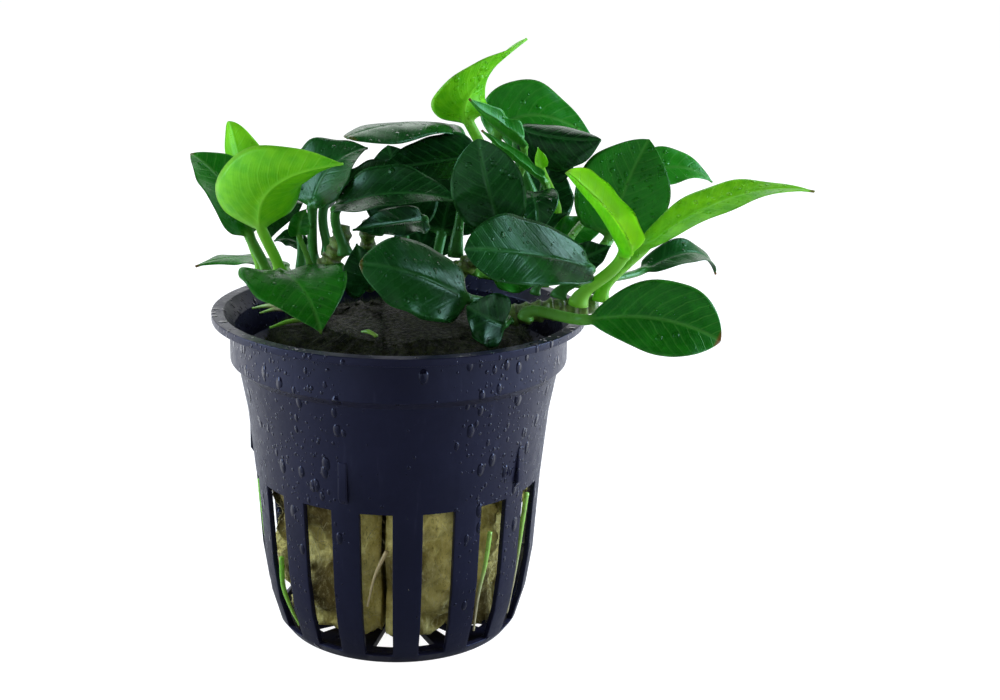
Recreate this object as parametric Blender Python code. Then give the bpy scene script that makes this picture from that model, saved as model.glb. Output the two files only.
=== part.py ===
"""Small anubias nana growing in rock wool in a plastic net pot.

Lengths are in millimetres until make_object scales them to metres. The origin is at the centre of
the pot's base, +Z is up, and -Y is the plant's front.
"""
import bpy
import bmesh
import math
from collections import namedtuple
from mathutils import Quaternion, Vector

METRES_PER_MM = 0.001

# Net pot: radius and height of matching points on the outer and the inner side of its wall
POT_HEIGHT = 49.0
RIM_RADIUS = 27.5
RIM_FLAT = 1.8
RIM_THICKNESS = 1.1
BASE_DISC_RADIUS = 5.5
SLOT_COUNT = 15
SLOT_ANGLE = math.radians(12.5)
FIRST_SLOT = math.radians(-98.6)
SLOT_STEPS = 1
BAR_STEPS = 2
POT_OUTSIDE = (
    (BASE_DISC_RADIUS, 0.0), (14.5, 0.0), (17.2, 0.0), (18.4, 1.6), (19.8, 6.5), (20.7, 12.5),
    (21.5, 24.6), (22.5, 34.5), (23.7, 40.9), (24.9, 42.0))
POT_INSIDE = (
    (BASE_DISC_RADIUS, 1.2), (14.5, 1.2), (16.8, 1.2), (17.6, 1.9), (19.0, 6.7), (19.9, 12.6),
    (20.7, 24.6), (21.7, 34.6), (22.9, 41.2), (24.1, 42.3))
BASE_OPENING_ROW = 0
SLOT_ROWS = (3, 4, 5)
RIB_COUNT = 5
RIB_SIZE = (1.4, 1.3, 6.5)
RIB_HEIGHT = 29.0
RIB_RADIUS = 21.75
FIRST_RIB = math.radians(-110.6)

# Rock wool: two blocks that stand face to face in the pot
WOOL_LEVELS = (
    (1.9, 14.0), (3.4, 16.8), (9.0, 18.6), (16.0, 19.4), (25.0, 19.9), (36.0, 20.6), (43.0, 20.8),
    (45.6, 18.6), (46.8, 12.0))
WOOL_ARC_STEPS = 10
WOOL_SEAM_STEPS = 4
WOOL_SEAM_X = -2.6
WOOL_SEAM_GAP = 0.9

# Leaves: one stalk and one blade are one piece
STALK_RADIUS = 0.8
STALK_STEPS = (0.0, 0.5)
BLADE_STEPS = (0.0, 0.08, 0.22, 0.4, 0.58, 0.76, 0.9, 1.0)
BLADE_THICKNESS = 0.5
ACROSS = 4

Leaf = namedtuple(
    "Leaf", "foot base middle tip width face cup twist widest heel point lobe wave stalk colour")
LIME = ("leaf_lime", (0.16, 0.52, 0.03), 0.30)
GREEN = ("leaf_green", (0.05, 0.26, 0.05), 0.25)
DARK = ("leaf_dark", (0.012, 0.07, 0.025), 0.20)


def leaf(foot, base, middle, tip, width, face, cup=20, twist=0, widest=0.4, heel=0.5, point=1.1,
         lobe=1.5, wave=0.3, stalk=STALK_RADIUS, colour=DARK):
    """Name the measures of one leaf.

    The midline runs from the stalk's foot through the blade's base and middle to its tip. The face
    is the way the blade's upper side looks. Cup and twist are in degrees, and widest is where the
    blade is widest, from 0 at its base to 1 at its tip. A small heel gives a round base, and a
    small point gives a blunt tip.
    """
    return Leaf(foot, base, middle, tip, width, face, cup, twist, widest, heel, point, lobe, wave,
                stalk, colour)


LEAVES = {
    # left crown
    "leaf_left_lime": leaf(
        (-17.6, 2.5, 52.6), (-20.2, -2.0, 61.8), (-17.4, -6.0, 68.4), (-7.9, -9.0, 71.8),
        15.0, (-0.6, 0.8, 0.1), cup=60, widest=0.3, lobe=3.0, colour=LIME),
    "leaf_left_tall": leaf(
        (-19.8, 5.4, 52.2), (-22.5, 4.8, 59.0), (-26.0, 6.4, 66.0), (-31.1, 9.0, 70.1),
        10.5, (0.5, -0.6, 0.6), cup=25, point=0.8, colour=GREEN),
    "leaf_left_young": leaf(
        (-20.8, 7.4, 51.9), (-23.0, 9.6, 59.0), (-24.1, 12.8, 66.8), (-26.1, 15.0, 74.2),
        9.2, (0.7, -0.7, 0.1), cup=50, point=0.6, colour=LIME),
    "leaf_left_low": leaf(
        (-17.0, 9.8, 50.8), (-17.6, 12.0, 52.1), (-23.7, 12.6, 53.6), (-31.0, 9.6, 52.9),
        7.5, (0.0, -0.05, 1.0), cup=-10, colour=GREEN),
    "leaf_front_left": leaf(
        (-14.2, -0.4, 52.5), (-17.6, -3.6, 55.0), (-13.6, -9.6, 53.9), (-10.8, -15.8, 49.3),
        15.0, (0.05, -0.35, 0.93), cup=12, twist=30, widest=0.35, lobe=4.5, colour=GREEN),
    "leaf_left_large": leaf(
        (-13.0, 4.9, 53.9), (-12.9, 2.4, 63.8), (-10.2, 3.5, 69.3), (-4.8, 4.6, 72.0),
        13.5, (-0.5, -0.55, 0.65), cup=20),
    "leaf_left_heart": leaf(
        (-13.2, 0.8, 54.6), (-14.8, 0.6, 59.8), (-14.6, 0.0, 61.8), (-13.6, 0.6, 63.6),
        3.6, (0.3, -0.9, 0.3), cup=50, lobe=0.6, wave=0.1, stalk=0.4, colour=GREEN),
    "leaf_left_inner": leaf(
        (-14.8, 7.4, 52.8), (-17.0, 9.8, 64.6), (-18.4, 6.4, 62.6), (-19.4, 4.6, 58.0),
        6.8, (0.2, -0.9, 0.4), lobe=1.0, stalk=0.6),
    "leaf_left_small": leaf(
        (-13.2, 8.4, 52.4), (-14.4, 10.0, 55.8), (-16.8, 10.8, 57.0), (-19.2, 11.0, 56.6),
        3.6, (0.0, -0.6, 0.8), lobe=0.5, wave=0.1, stalk=0.5),
    # middle crown
    "leaf_inner_shade": leaf(
        (-10.8, 4.4, 56.1), (-11.4, 4.8, 63.6), (-6.2, 7.0, 66.8), (-0.6, 8.4, 69.8),
        9.0, (-0.3, 0.5, 0.8)),
    "leaf_middle_long": leaf(
        (-8.2, -1.0, 57.3), (-9.4, -3.5, 64.5), (-1.0, -6.5, 67.2), (8.3, -10.0, 66.8),
        10.0, (0.0, -0.5, 0.86), cup=35, widest=0.45),
    "leaf_middle_low": leaf(
        (-3.8, 5.8, 59.0), (3.8, 0.5, 62.2), (-1.0, -4.0, 62.4), (-6.6, -8.0, 62.3),
        5.6, (0.0, -0.75, 0.65), lobe=0.8),
    "leaf_front_dark": leaf(
        (-7.0, -0.4, 52.2), (-3.8, -3.4, 53.2), (-5.2, -5.4, 56.0), (-6.2, -5.4, 59.8),
        7.5, (0.0, -0.9, 0.45)),
    # back crown
    "leaf_top_curled": leaf(
        (8.6, 10.2, 54.6), (8.8, 10.2, 74.4), (0.6, 3.8, 75.7), (-7.6, -2.6, 74.5),
        9.6, (-0.05, -0.15, 1.0), cup=-30, widest=0.68, point=0.5),
    "leaf_centre_shade": leaf(
        (12.6, 6.4, 59.0), (11.4, 3.8, 71.1), (4.5, 1.4, 70.4), (-3.5, -1.0, 69.4),
        9.5, (0.3, -0.55, 0.8)),
    "leaf_top_lime": leaf(
        (15.6, 7.9, 62.4), (9.7, 8.2, 76.2), (10.7, 6.7, 81.0), (18.4, 8.0, 87.9),
        9.8, (-0.7, 0.65, 0.3), cup=20, twist=105, widest=0.3, heel=0.4, point=0.75, colour=LIME),
    "leaf_top_wide": leaf(
        (17.0, 8.8, 64.6), (14.4, 12.6, 73.4), (20.8, 13.6, 75.9), (29.6, 14.6, 72.4),
        11.5, (-0.05, -0.75, 0.65), lobe=2.5, colour=GREEN),
    "leaf_top_dark": leaf(
        (19.4, 6.0, 64.4), (17.5, 5.6, 75.0), (23.2, 4.6, 73.8), (29.4, 3.4, 73.8),
        10.0, (0.1, -0.7, 0.7), cup=-65, widest=0.58, point=0.8, wave=0.1),
    "leaf_top_folded": leaf(
        (17.0, 3.2, 65.4), (18.0, 1.4, 73.2), (13.8, -0.6, 76.0), (9.7, -2.0, 80.2),
        6.4, (0.4, -0.3, 0.8), cup=75, lobe=0.5, stalk=0.6, colour=GREEN),
    "leaf_top_spear": leaf(
        (21.4, 3.0, 63.0), (20.6, -4.2, 68.9), (15.8, -6.8, 72.6), (11.2, -9.0, 76.7),
        3.0, (0.5, -0.5, 0.5), cup=110, lobe=0.2, wave=0.0, stalk=0.6, colour=GREEN),
    "leaf_top_tiny": leaf(
        (23.4, 3.8, 62.8), (20.4, -1.4, 70.4), (20.0, -2.0, 71.8), (19.6, -2.4, 73.4),
        2.2, (0.0, -1.0, 0.2), cup=50, lobe=0.3, wave=0.0, stalk=0.35, colour=LIME),
    "leaf_centre_back": leaf(
        (21.2, 5.6, 61.8), (21.8, 8.8, 67.0), (23.0, 9.0, 70.8), (24.8, 9.2, 73.8),
        7.4, (-0.2, -0.9, 0.3), stalk=0.6),
    "leaf_centre_large": leaf(
        (15.0, 2.2, 60.0), (14.0, -8.4, 63.2), (12.0, -10.8, 69.4), (10.6, -11.2, 75.8),
        10.4, (-0.15, -0.95, 0.3), widest=0.5, point=0.65),
    "leaf_centre_glossy": leaf(
        (17.4, 1.6, 61.6), (18.2, -3.2, 66.9), (19.0, -8.2, 66.4), (19.4, -9.9, 61.8),
        7.0, (0.1, -0.7, 0.65), stalk=0.6),
    # right crown
    "leaf_front_centre": leaf(
        (13.2, -9.2, 51.0), (9.3, -12.6, 53.6), (1.8, -16.6, 58.0), (-5.5, -18.0, 59.6),
        12.0, (0.1, -0.75, 0.65), cup=-15, widest=0.45, point=0.65),
    "leaf_right_front": leaf(
        (22.6, -9.8, 53.2), (27.4, -9.6, 57.4), (17.4, -16.4, 60.9), (8.6, -20.0, 62.2),
        10.6, (0.1, -0.8, 0.6), twist=-30, widest=0.6, point=0.6),
    "leaf_right_round": leaf(
        (25.2, -6.2, 53.8), (31.4, 3.0, 59.4), (33.7, 5.5, 66.5), (37.3, 8.5, 73.2),
        14.4, (-0.1, -0.85, 0.5), widest=0.45, point=0.8, colour=GREEN),
    "leaf_right_lime": leaf(
        (25.4, -11.2, 52.4), (31.6, -12.4, 60.2), (27.2, -13.0, 66.8), (22.6, -14.0, 71.8),
        8.5, (0.75, -0.5, 0.4), cup=95, widest=0.2, point=0.45, stalk=1.0, colour=LIME),
    "leaf_right_long": leaf(
        (28.4, -10.2, 52.8), (34.5, -7.5, 59.7), (46.5, -7.0, 67.1), (59.5, -5.0, 68.0),
        6.8, (-0.35, -0.4, 0.85), colour=LIME),
    "leaf_right_back": leaf(
        (22.8, -3.6, 53.8), (33.0, 12.6, 64.8), (41.6, 13.6, 68.2), (48.5, 14.6, 65.8),
        7.0, (0.0, -0.7, 0.7), stalk=0.6, colour=GREEN),
    "leaf_right_low_back": leaf(
        (28.6, -5.6, 52.6), (36.4, 3.0, 54.2), (44.5, 6.5, 56.3), (48.8, 9.0, 52.4),
        5.4, (0.1, -0.4, 0.9), stalk=0.6),
    "leaf_right_low_front": leaf(
        (17.6, -11.2, 50.4), (25.8, -16.0, 51.4), (35.2, -19.0, 52.5), (43.8, -21.0, 49.9),
        11.5, (0.0, -0.8, 0.6), widest=0.65, heel=1.0, point=0.7, lobe=0.3, colour=GREEN),
    "leaf_right_olive": leaf(
        (20.8, -4.6, 53.4), (23.1, 4.0, 58.4), (27.2, 5.6, 59.7), (31.0, 6.6, 60.0),
        5.4, (0.0, -0.7, 0.7), lobe=0.5, stalk=0.5, colour=GREEN),
    "leaf_right_shade": leaf(
        (19.4, -6.4, 52.8), (23.7, -7.0, 56.8), (27.2, -6.6, 58.5), (30.2, -6.0, 59.9),
        5.0, (0.0, -0.7, 0.7), lobe=0.5, stalk=0.5),
    "leaf_pot_inner": leaf(
        (15.6, -10.6, 49.8), (14.6, -13.4, 49.9), (12.0, -14.6, 51.4), (9.2, -15.4, 53.2),
        8.0, (-0.2, -0.85, 0.5), lobe=0.8, point=0.8, stalk=0.5),
    # leaves at the back, away from the front view
    "leaf_back_left": leaf(
        (1.0, 10.6, 50.6), (0.5, 14.0, 58.0), (-0.5, 17.0, 64.5), (-2.0, 20.5, 70.0),
        12.0, (0.1, -0.8, 0.6), point=0.8),
    "leaf_back_middle": leaf(
        (5.6, 13.0, 52.2), (6.5, 16.0, 57.0), (8.0, 19.0, 63.0), (9.5, 23.0, 69.0),
        13.0, (0.0, -0.8, 0.6), point=0.8),
    "leaf_back_right": leaf(
        (14.6, 9.0, 58.0), (20.4, 13.4, 59.1), (22.3, 17.0, 63.6), (24.2, 20.0, 67.2),
        10.5, (0.1, -0.8, 0.6), point=0.8),
    "leaf_back_low_middle": leaf(
        (3.4, 14.6, 50.6), (3.7, 15.6, 53.1), (3.0, 17.4, 55.5), (1.5, 19.6, 58.2),
        12.0, (0.0, -0.8, 0.5), point=0.8),
    "leaf_back_low_right": leaf(
        (11.6, 9.6, 51.8), (14.5, 10.2, 51.7), (18.5, 10.8, 52.4), (22.9, 11.6, 52.9),
        8.0, (0.1, -0.75, 0.65), point=0.8, colour=GREEN),
}

# Creeping stems: midline points and radius
RHIZOMES = {
    "rhizome_left": (((-21.0, 9.0, 49.6), (-16.0, 3.6, 50.4), (-10.8, 1.6, 52.6), (-9.0, 1.4, 57.0),
                      (-8.2, 1.8, 61.0)), 1.5),
    "rhizome_middle": (((-4.6, 12.0, 48.8), (-4.8, 10.0, 53.0), (-5.0, 8.0, 60.4)), 1.2),
    "rhizome_back": (((2.0, 13.0, 48.8), (8.0, 10.0, 51.0), (14.0, 6.0, 56.5), (18.0, 4.6, 61.5)),
                     1.5),
    "rhizome_right": (((12.5, -6.5, 48.9), (18.5, -7.8, 50.6), (24.0, -8.4, 51.3),
                       (28.4, -8.2, 51.9)), 1.6),
}
RHIZOME_SIDES = 8
RHIZOME_STEPS = 6

# Roots in the slots: heading around the pot in degrees from the front and height of each point of
# the midline, and radius. The midline lies in the middle of the pot's wall.
SLOT_ROOT_OUT = 0.4
SLOT_ROOTS = {
    "root_slot_left": (((-57.0, 14.0), (-59.5, 9.0), (-56.0, 5.5), (-52.6, 3.2)), 0.4),
    "root_slot_left_edge": (((-80.0, 23.5), (-79.5, 18.0), (-79.0, 12.0)), 0.4),
    "root_slot_front": (((-4.6, 19.0), (-9.4, 15.0), (-12.8, 10.0)), 0.3),
    "root_slot_right": (((39.0, 20.0), (37.6, 15.0), (35.4, 10.0), (36.4, 4.0)), 0.35),
    "root_slot_right_edge": (((63.0, 23.5), (60.6, 17.0), (59.2, 11.0), (61.0, 4.0)), 0.4),
}
ROOT_SIDES = 5

# Root ends that lie on the wool: first point, last point, radius
TOP_ROOTS = {
    "root_top_1": ((-22.0, 4.0, 47.8), (-16.6, 1.2, 48.6), 0.35),
    "root_top_2": ((-20.6, 0.6, 47.9), (-16.6, 0.0, 48.6), 0.3),
    "root_top_3": ((-18.6, -6.6, 47.6), (-13.2, -5.0, 48.4), 0.35),
    "root_top_4": ((-5.4, -10.6, 48.2), (-3.2, -12.0, 47.9), 0.3),
}


def clear_scene():
    """Remove every object, so that only this model is left."""
    for item in list(bpy.data.objects):
        bpy.data.objects.remove(item, do_unlink=True)


def material(name, colour, roughness):
    """Make or find a plain Principled material."""
    found = bpy.data.materials.get(name)
    if found:
        return found
    made = bpy.data.materials.new(name)
    made.use_nodes = True
    surface = made.node_tree.nodes["Principled BSDF"]
    surface.inputs["Base Color"].default_value = (*colour, 1.0)
    surface.inputs["Roughness"].default_value = roughness
    surface.inputs["Metallic"].default_value = 0.0
    return made


def make_object(name, points, faces, look):
    """Make one named, smooth-shaded object from points in millimetres."""
    mesh = bpy.data.meshes.new(name)
    mesh.from_pydata([Vector(point) * METRES_PER_MM for point in points], [], faces)
    mesh.materials.append(look)
    mesh.shade_smooth()
    mesh.set_sharp_from_angle(angle=math.radians(40))
    made = bpy.data.objects.new(name, mesh)
    bpy.context.scene.collection.objects.link(made)
    return made


def polar(radius, angle, height):
    """Give the point at a radius and an angle about the pot's axis."""
    return (radius * math.cos(angle), radius * math.sin(angle), height)


def smooth(value):
    """Ease from 0 to 1."""
    value = min(max(value, 0.0), 1.0)
    return value * value * (3.0 - 2.0 * value)


def loft(rings):
    """Join rings of equal length into one closed body, with a flat cap at each end."""
    count = len(rings[0])
    points = [point for ring in rings for point in ring]
    faces = [tuple(reversed(range(count)))]
    for row in range(len(rings) - 1):
        for place in range(count):
            after = (place + 1) % count
            low = row * count
            high = low + count
            faces.append((low + place, low + after, high + after, high + place))
    last = (len(rings) - 1) * count
    faces.append(tuple(range(last, last + count)))
    return points, faces


def pot_angles():
    """List the angles of the wall's columns and which panels are slots."""
    angles = []
    slots = []
    pitch = math.tau / SLOT_COUNT
    for number in range(SLOT_COUNT):
        middle = FIRST_SLOT + number * pitch
        for step in range(SLOT_STEPS):
            angles.append(middle + SLOT_ANGLE * (step / SLOT_STEPS - 0.5))
            slots.append(True)
        for step in range(BAR_STEPS):
            angles.append(middle + SLOT_ANGLE / 2 + (pitch - SLOT_ANGLE) * step / BAR_STEPS)
            slots.append(False)
    return angles, slots


def net_pot():
    """Build the pot as one thin-walled body with slots in its wall and its base."""
    angles, slots = pot_angles()
    columns = len(angles)
    levels = len(POT_OUTSIDE)
    rim_top = POT_HEIGHT - RIM_THICKNESS
    rim = (
        (POT_OUTSIDE[-1][0], rim_top), (RIM_RADIUS, rim_top), (RIM_RADIUS, POT_HEIGHT),
        (RIM_RADIUS - RIM_FLAT, POT_HEIGHT), (POT_INSIDE[-1][0], POT_HEIGHT - 2 * RIM_THICKNESS))
    rows = list(POT_OUTSIDE) + list(rim) + list(reversed(POT_INSIDE))
    points = [polar(radius, angle, height) for radius, height in rows for angle in angles]
    under_centre = len(points)
    floor_centre = under_centre + 1
    points += [(0.0, 0.0, 0.0), (0.0, 0.0, POT_INSIDE[0][1])]

    def outer(level, column):
        return level * columns + column % columns

    def inner(level, column):
        return (len(rows) - 1 - level) * columns + column % columns

    def is_open(level, column):
        return slots[column % columns] and (level in SLOT_ROWS or level == BASE_OPENING_ROW)

    faces = []
    for column in range(columns):
        after = column + 1
        faces.append((under_centre, outer(0, after), outer(0, column)))
        faces.append((floor_centre, inner(0, column), inner(0, after)))
        for row in range(levels - 1, levels + len(rim)):
            faces.append((row * columns + column, row * columns + after % columns,
                          (row + 1) * columns + after % columns, (row + 1) * columns + column))
        for level in range(levels - 1):
            if is_open(level, column):
                continue
            above = level + 1
            faces.append((outer(level, column), outer(level, after),
                          outer(above, after), outer(above, column)))
            faces.append((inner(level, after), inner(level, column),
                          inner(above, column), inner(above, after)))
            if is_open(level, after):
                faces.append((outer(level, after), inner(level, after),
                              inner(above, after), outer(above, after)))
            if is_open(level, column - 1):
                faces.append((inner(level, column), outer(level, column),
                              outer(above, column), inner(above, column)))
            if above < levels - 1 and is_open(above, column):
                faces.append((outer(above, column), outer(above, after),
                              inner(above, after), inner(above, column)))
            if level > 0 and is_open(level - 1, column):
                faces.append((outer(level, after), outer(level, column),
                              inner(level, column), inner(level, after)))
    # the disc in the middle of the base closes the openings' inner ends
    for column in range(columns):
        if is_open(BASE_OPENING_ROW, column):
            faces.append((outer(0, column), outer(0, column + 1),
                          inner(0, column + 1), inner(0, column)))
    look = material("pot_plastic", (0.012, 0.013, 0.028), 0.35)
    pot = make_object("net_pot", points, faces, look)
    add_ribs(pot, look)


def add_ribs(pot, look):
    """Fuse the short upright ribs onto the outside of the pot's wall."""
    shape = bmesh.new()
    for number in range(RIB_COUNT):
        angle = FIRST_RIB + math.tau * number / RIB_COUNT
        made = bmesh.ops.create_cube(shape, size=1.0)["verts"]
        bmesh.ops.scale(shape, vec=(RIB_SIZE[1], RIB_SIZE[0], RIB_SIZE[2]), verts=made)
        bmesh.ops.translate(shape, vec=(RIB_RADIUS, 0.0, RIB_HEIGHT), verts=made)
        turn = Quaternion((0.0, 0.0, 1.0), angle).to_matrix()
        bmesh.ops.rotate(shape, cent=(0.0, 0.0, 0.0), matrix=turn, verts=made)
    bmesh.ops.scale(shape, vec=(METRES_PER_MM,) * 3, verts=shape.verts)
    mesh = bpy.data.meshes.new("rib_guide")
    shape.to_mesh(mesh)
    shape.free()
    mesh.materials.append(look)
    guide = bpy.data.objects.new("rib_guide", mesh)
    bpy.context.scene.collection.objects.link(guide)
    guide.hide_render = True
    guide.display_type = "WIRE"
    fuse = pot.modifiers.new("ribs", "BOOLEAN")
    fuse.operation = "UNION"
    fuse.solver = "EXACT"
    fuse.object = guide


def wool_block(name, side):
    """Build one rock wool block: a half cylinder with a soft, uneven outside."""
    rings = []
    seam = WOOL_SEAM_X + side * WOOL_SEAM_GAP / 2
    for level, (height, radius) in enumerate(WOOL_LEVELS):
        ring = []
        reach = math.sqrt(radius * radius - seam * seam)
        start = math.atan2(-reach, seam)
        end = math.atan2(reach, seam)
        if side < 0:
            start, end = end, start + math.tau
        for step in range(WOOL_ARC_STEPS + 1):
            angle = start + (end - start) * step / WOOL_ARC_STEPS
            dent = 0.35 * math.sin(3 * angle + 1.7 * level) * math.sin(math.pi * step / WOOL_ARC_STEPS)
            lift = 0.5 * math.sin(2 * angle + level) if level > 6 else 0.0
            ring.append(polar(radius - 0.35 + dent, angle, height + lift))
        first = ring[0]
        final = ring[-1]
        for step in range(1, WOOL_SEAM_STEPS):
            share = step / WOOL_SEAM_STEPS
            depth = final[1] + (first[1] - final[1]) * share
            height_here = final[2] + (first[2] - final[2]) * share
            ring.append((final[0] + (first[0] - final[0]) * share, depth, height_here))
        rings.append(ring)
    points, faces = loft(rings)
    make_object(name, points, faces, material("rock_wool", (0.34, 0.30, 0.12), 0.95))


def bezier(controls, share):
    """Give a point on a Bezier curve with any number of control points."""
    points = [Vector(control) for control in controls]
    while len(points) > 1:
        points = [a.lerp(b, share) for a, b in zip(points, points[1:])]
    return points[0]


def blade_share(shape, place):
    """Give a blade's half width at a place from base (0) to tip (1), as a share of its widest."""
    if place < shape.widest:
        back = 1.0 - place / shape.widest
        return max(0.0, 1.0 - back ** 2.4) ** shape.heel
    ahead = (place - shape.widest) / (1.0 - shape.widest)
    return max(0.0, math.cos(ahead * math.pi / 2)) ** shape.point


def leaf_midline(shape):
    """List the midline points of a leaf, stalk first, with each point's place on the blade."""
    foot, base, middle, tip = (Vector(p) for p in (shape.foot, shape.base, shape.middle, shape.tip))
    bend = middle * 2 - (base + tip) / 2
    length = (base - foot).length
    arrive = ((bend - base).normalized() + (base - foot).normalized()).normalized()
    rise = foot + Vector((0.0, 0.0, length * 0.3))
    line = [(bezier((foot, rise, base - arrive * length * 0.3, base), step), -1.0)
            for step in STALK_STEPS]
    line += [(bezier((base, bend, tip), place), place) for place in BLADE_STEPS]
    return line


def leaf_frames(points, face, middle_index):
    """Carry the blade's face direction along the midline without spinning it."""
    last = len(points) - 1
    along = [(points[min(i + 1, last)] - points[max(i - 1, 0)]).normalized()
             for i in range(len(points))]
    ups = [None] * len(points)
    face = Vector(face)
    here = along[middle_index]
    ups[middle_index] = (face - here * face.dot(here)).normalized()
    for index in range(middle_index + 1, len(points)):
        turn = along[index - 1].rotation_difference(along[index])
        ups[index] = turn @ ups[index - 1]
    for index in range(middle_index - 1, -1, -1):
        turn = along[index + 1].rotation_difference(along[index])
        ups[index] = turn @ ups[index + 1]
    return along, ups


def leaf_ring(shape, centre, place, along, up):
    """Make one closed ring across a leaf: round on the stalk, thin and cupped on the blade."""
    on_blade = max(place, 0.0)
    up = Quaternion(along, math.radians(shape.twist) * (on_blade - 0.5)) @ up
    side = along.cross(up)
    blade = smooth(on_blade / 0.08)
    share = blade_share(shape, on_blade)
    stalk = shape.stalk * (1.0 - 0.75 * on_blade)
    half = max(shape.width / 2 * share, stalk * 0.8)
    edge_lean = math.radians(shape.cup)
    ripple = shape.wave * share * math.sin(math.tau * (1.3 * on_blade + 0.2))
    lag = shape.lobe * share * (1.0 - on_blade) ** 3
    steps = [(-1.0 + 2.0 * i / ACROSS, 1.0) for i in range(ACROSS + 1)]
    steps += [(1.0 - 2.0 * i / ACROSS, -1.0) for i in range(1, ACROSS)]
    ring = []
    for across, skin in steps:
        lean = edge_lean * across
        out = half * math.sin(lean) / edge_lean
        lift = half * (1.0 - math.cos(lean)) / edge_lean + ripple * across
        depth = skin * BLADE_THICKNESS / 2 * (1.0 - 0.8 * across * across)
        round_out = stalk * math.sin(math.pi / 2 * across)
        round_lift = skin * stalk * math.cos(math.pi / 2 * across)
        ring.append(centre + side * (round_out + (out - round_out) * blade)
                    + up * (round_lift + (lift + depth - round_lift) * blade)
                    - along * lag * across * across)
    return ring


def split_skins(faces, count):
    """Split a leaf's quads so that both skins fold along the same lines and never cross."""
    split = []
    for face in faces:
        if len(face) != 4:
            split.append(face)
            continue
        low, low_after, high_after, high = face
        if low % count < ACROSS:
            split += [(low, low_after, high_after), (low, high_after, high)]
        else:
            split += [(low, low_after, high), (low_after, high_after, high)]
    return split


def leaf_body(name, shape):
    """Build one leaf as a single closed body."""
    line = leaf_midline(shape)
    points = [point for point, _ in line]
    middle_index = len(STALK_STEPS) + len(BLADE_STEPS) // 2
    along, ups = leaf_frames(points, shape.face, middle_index)
    rings = [leaf_ring(shape, point, place, along[i], ups[i])
             for i, (point, place) in enumerate(line)]
    points, faces = loft(rings)
    make_object(name, points, split_skins(faces, len(rings[0])), material(*shape.colour))


def tube(centres, radii, sides):
    """Make a closed tube through centres, with a radius at each."""
    centres = [Vector(centre) for centre in centres]
    along, ups = leaf_frames(centres, (0.3, -0.9, 0.2), 0)
    rings = []
    for index, centre in enumerate(centres):
        side = along[index].cross(ups[index])
        ring = []
        for step in range(sides):
            angle = -math.tau * step / sides
            ring.append(centre + (side * math.cos(angle) + ups[index] * math.sin(angle)) * radii[index])
        rings.append(ring)
    return loft(rings)


def rhizome(name, path, radius):
    """Build one creeping stem with the swellings of its old leaf scars."""
    shares = [step / RHIZOME_STEPS for step in range(RHIZOME_STEPS + 1)]
    centres = [bezier(path, share) for share in shares]
    radii = [radius * (0.8 + 0.12 * (number % 2)) for number in range(len(shares))]
    radii[0] *= 0.6
    radii[-1] *= 0.6
    points, faces = tube(centres, radii, RHIZOME_SIDES)
    make_object(name, points, faces, material("rhizome", (0.10, 0.16, 0.03), 0.5))


def inner_radius(height):
    """Give the radius of the pot's inside at a height."""
    for (low_radius, low), (high_radius, high) in zip(POT_INSIDE, POT_INSIDE[1:]):
        if low <= height <= high and high > low:
            return low_radius + (high_radius - low_radius) * (height - low) / (high - low)
    return POT_INSIDE[-1][0]


def slot_root(name, route, radius):
    """Build one root that runs down one slot of the pot's wall."""
    centres = []
    for heading, height in route:
        reach = inner_radius(height) + SLOT_ROOT_OUT
        centres.append(polar(reach, math.radians(heading - 90.0), height))
    radii = [radius] * len(centres)
    radii[-1] *= 0.5
    points, faces = tube(centres, radii, ROOT_SIDES)
    make_object(name, points, faces, material("root", (0.30, 0.42, 0.10), 0.5))


def top_root(name, start, end, radius):
    """Build one root end that lies on top of the wool."""
    start = Vector(start)
    end = Vector(end)
    sag = Vector((0.0, 0.0, radius))
    centres = [start, start.lerp(end, 0.5) + sag, end]
    points, faces = tube(centres, [radius * 0.5, radius, radius], ROOT_SIDES)
    make_object(name, points, faces, material("root", (0.30, 0.42, 0.10), 0.5))


clear_scene()
net_pot()
wool_block("rock_wool_left", -1)
wool_block("rock_wool_right", 1)
for rhizome_name, (rhizome_path, rhizome_radius) in RHIZOMES.items():
    rhizome(rhizome_name, rhizome_path, rhizome_radius)
for leaf_name, leaf_shape in LEAVES.items():
    leaf_body(leaf_name, leaf_shape)
for root_name, (root_route, root_radius) in SLOT_ROOTS.items():
    slot_root(root_name, root_route, root_radius)
for root_name, (root_start, root_end, root_radius) in TOP_ROOTS.items():
    top_root(root_name, root_start, root_end, root_radius)
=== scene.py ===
"""Looks of the small potted anubias nana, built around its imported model.

The tables are in millimetres, in the frame of the model: +Z up, -Y to the front, the origin at the
centre of the pot's base. make_piece turns them into metres.
"""
import bpy
import math
import random
from collections import namedtuple
from mathutils import Matrix, Quaternion, Vector, noise


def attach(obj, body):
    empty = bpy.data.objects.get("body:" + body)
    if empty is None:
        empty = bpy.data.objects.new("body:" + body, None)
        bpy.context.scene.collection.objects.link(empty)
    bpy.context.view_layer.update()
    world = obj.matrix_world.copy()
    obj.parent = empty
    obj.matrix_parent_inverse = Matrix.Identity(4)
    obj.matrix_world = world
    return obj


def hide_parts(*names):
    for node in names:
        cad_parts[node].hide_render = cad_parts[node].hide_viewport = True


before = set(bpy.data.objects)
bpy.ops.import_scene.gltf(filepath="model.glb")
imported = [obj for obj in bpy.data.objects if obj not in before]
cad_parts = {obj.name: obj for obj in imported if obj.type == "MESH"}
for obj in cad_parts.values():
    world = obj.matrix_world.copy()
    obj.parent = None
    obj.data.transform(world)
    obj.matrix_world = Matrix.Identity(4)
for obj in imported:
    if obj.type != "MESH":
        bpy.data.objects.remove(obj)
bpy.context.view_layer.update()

METRES_PER_MM = 0.001

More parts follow.
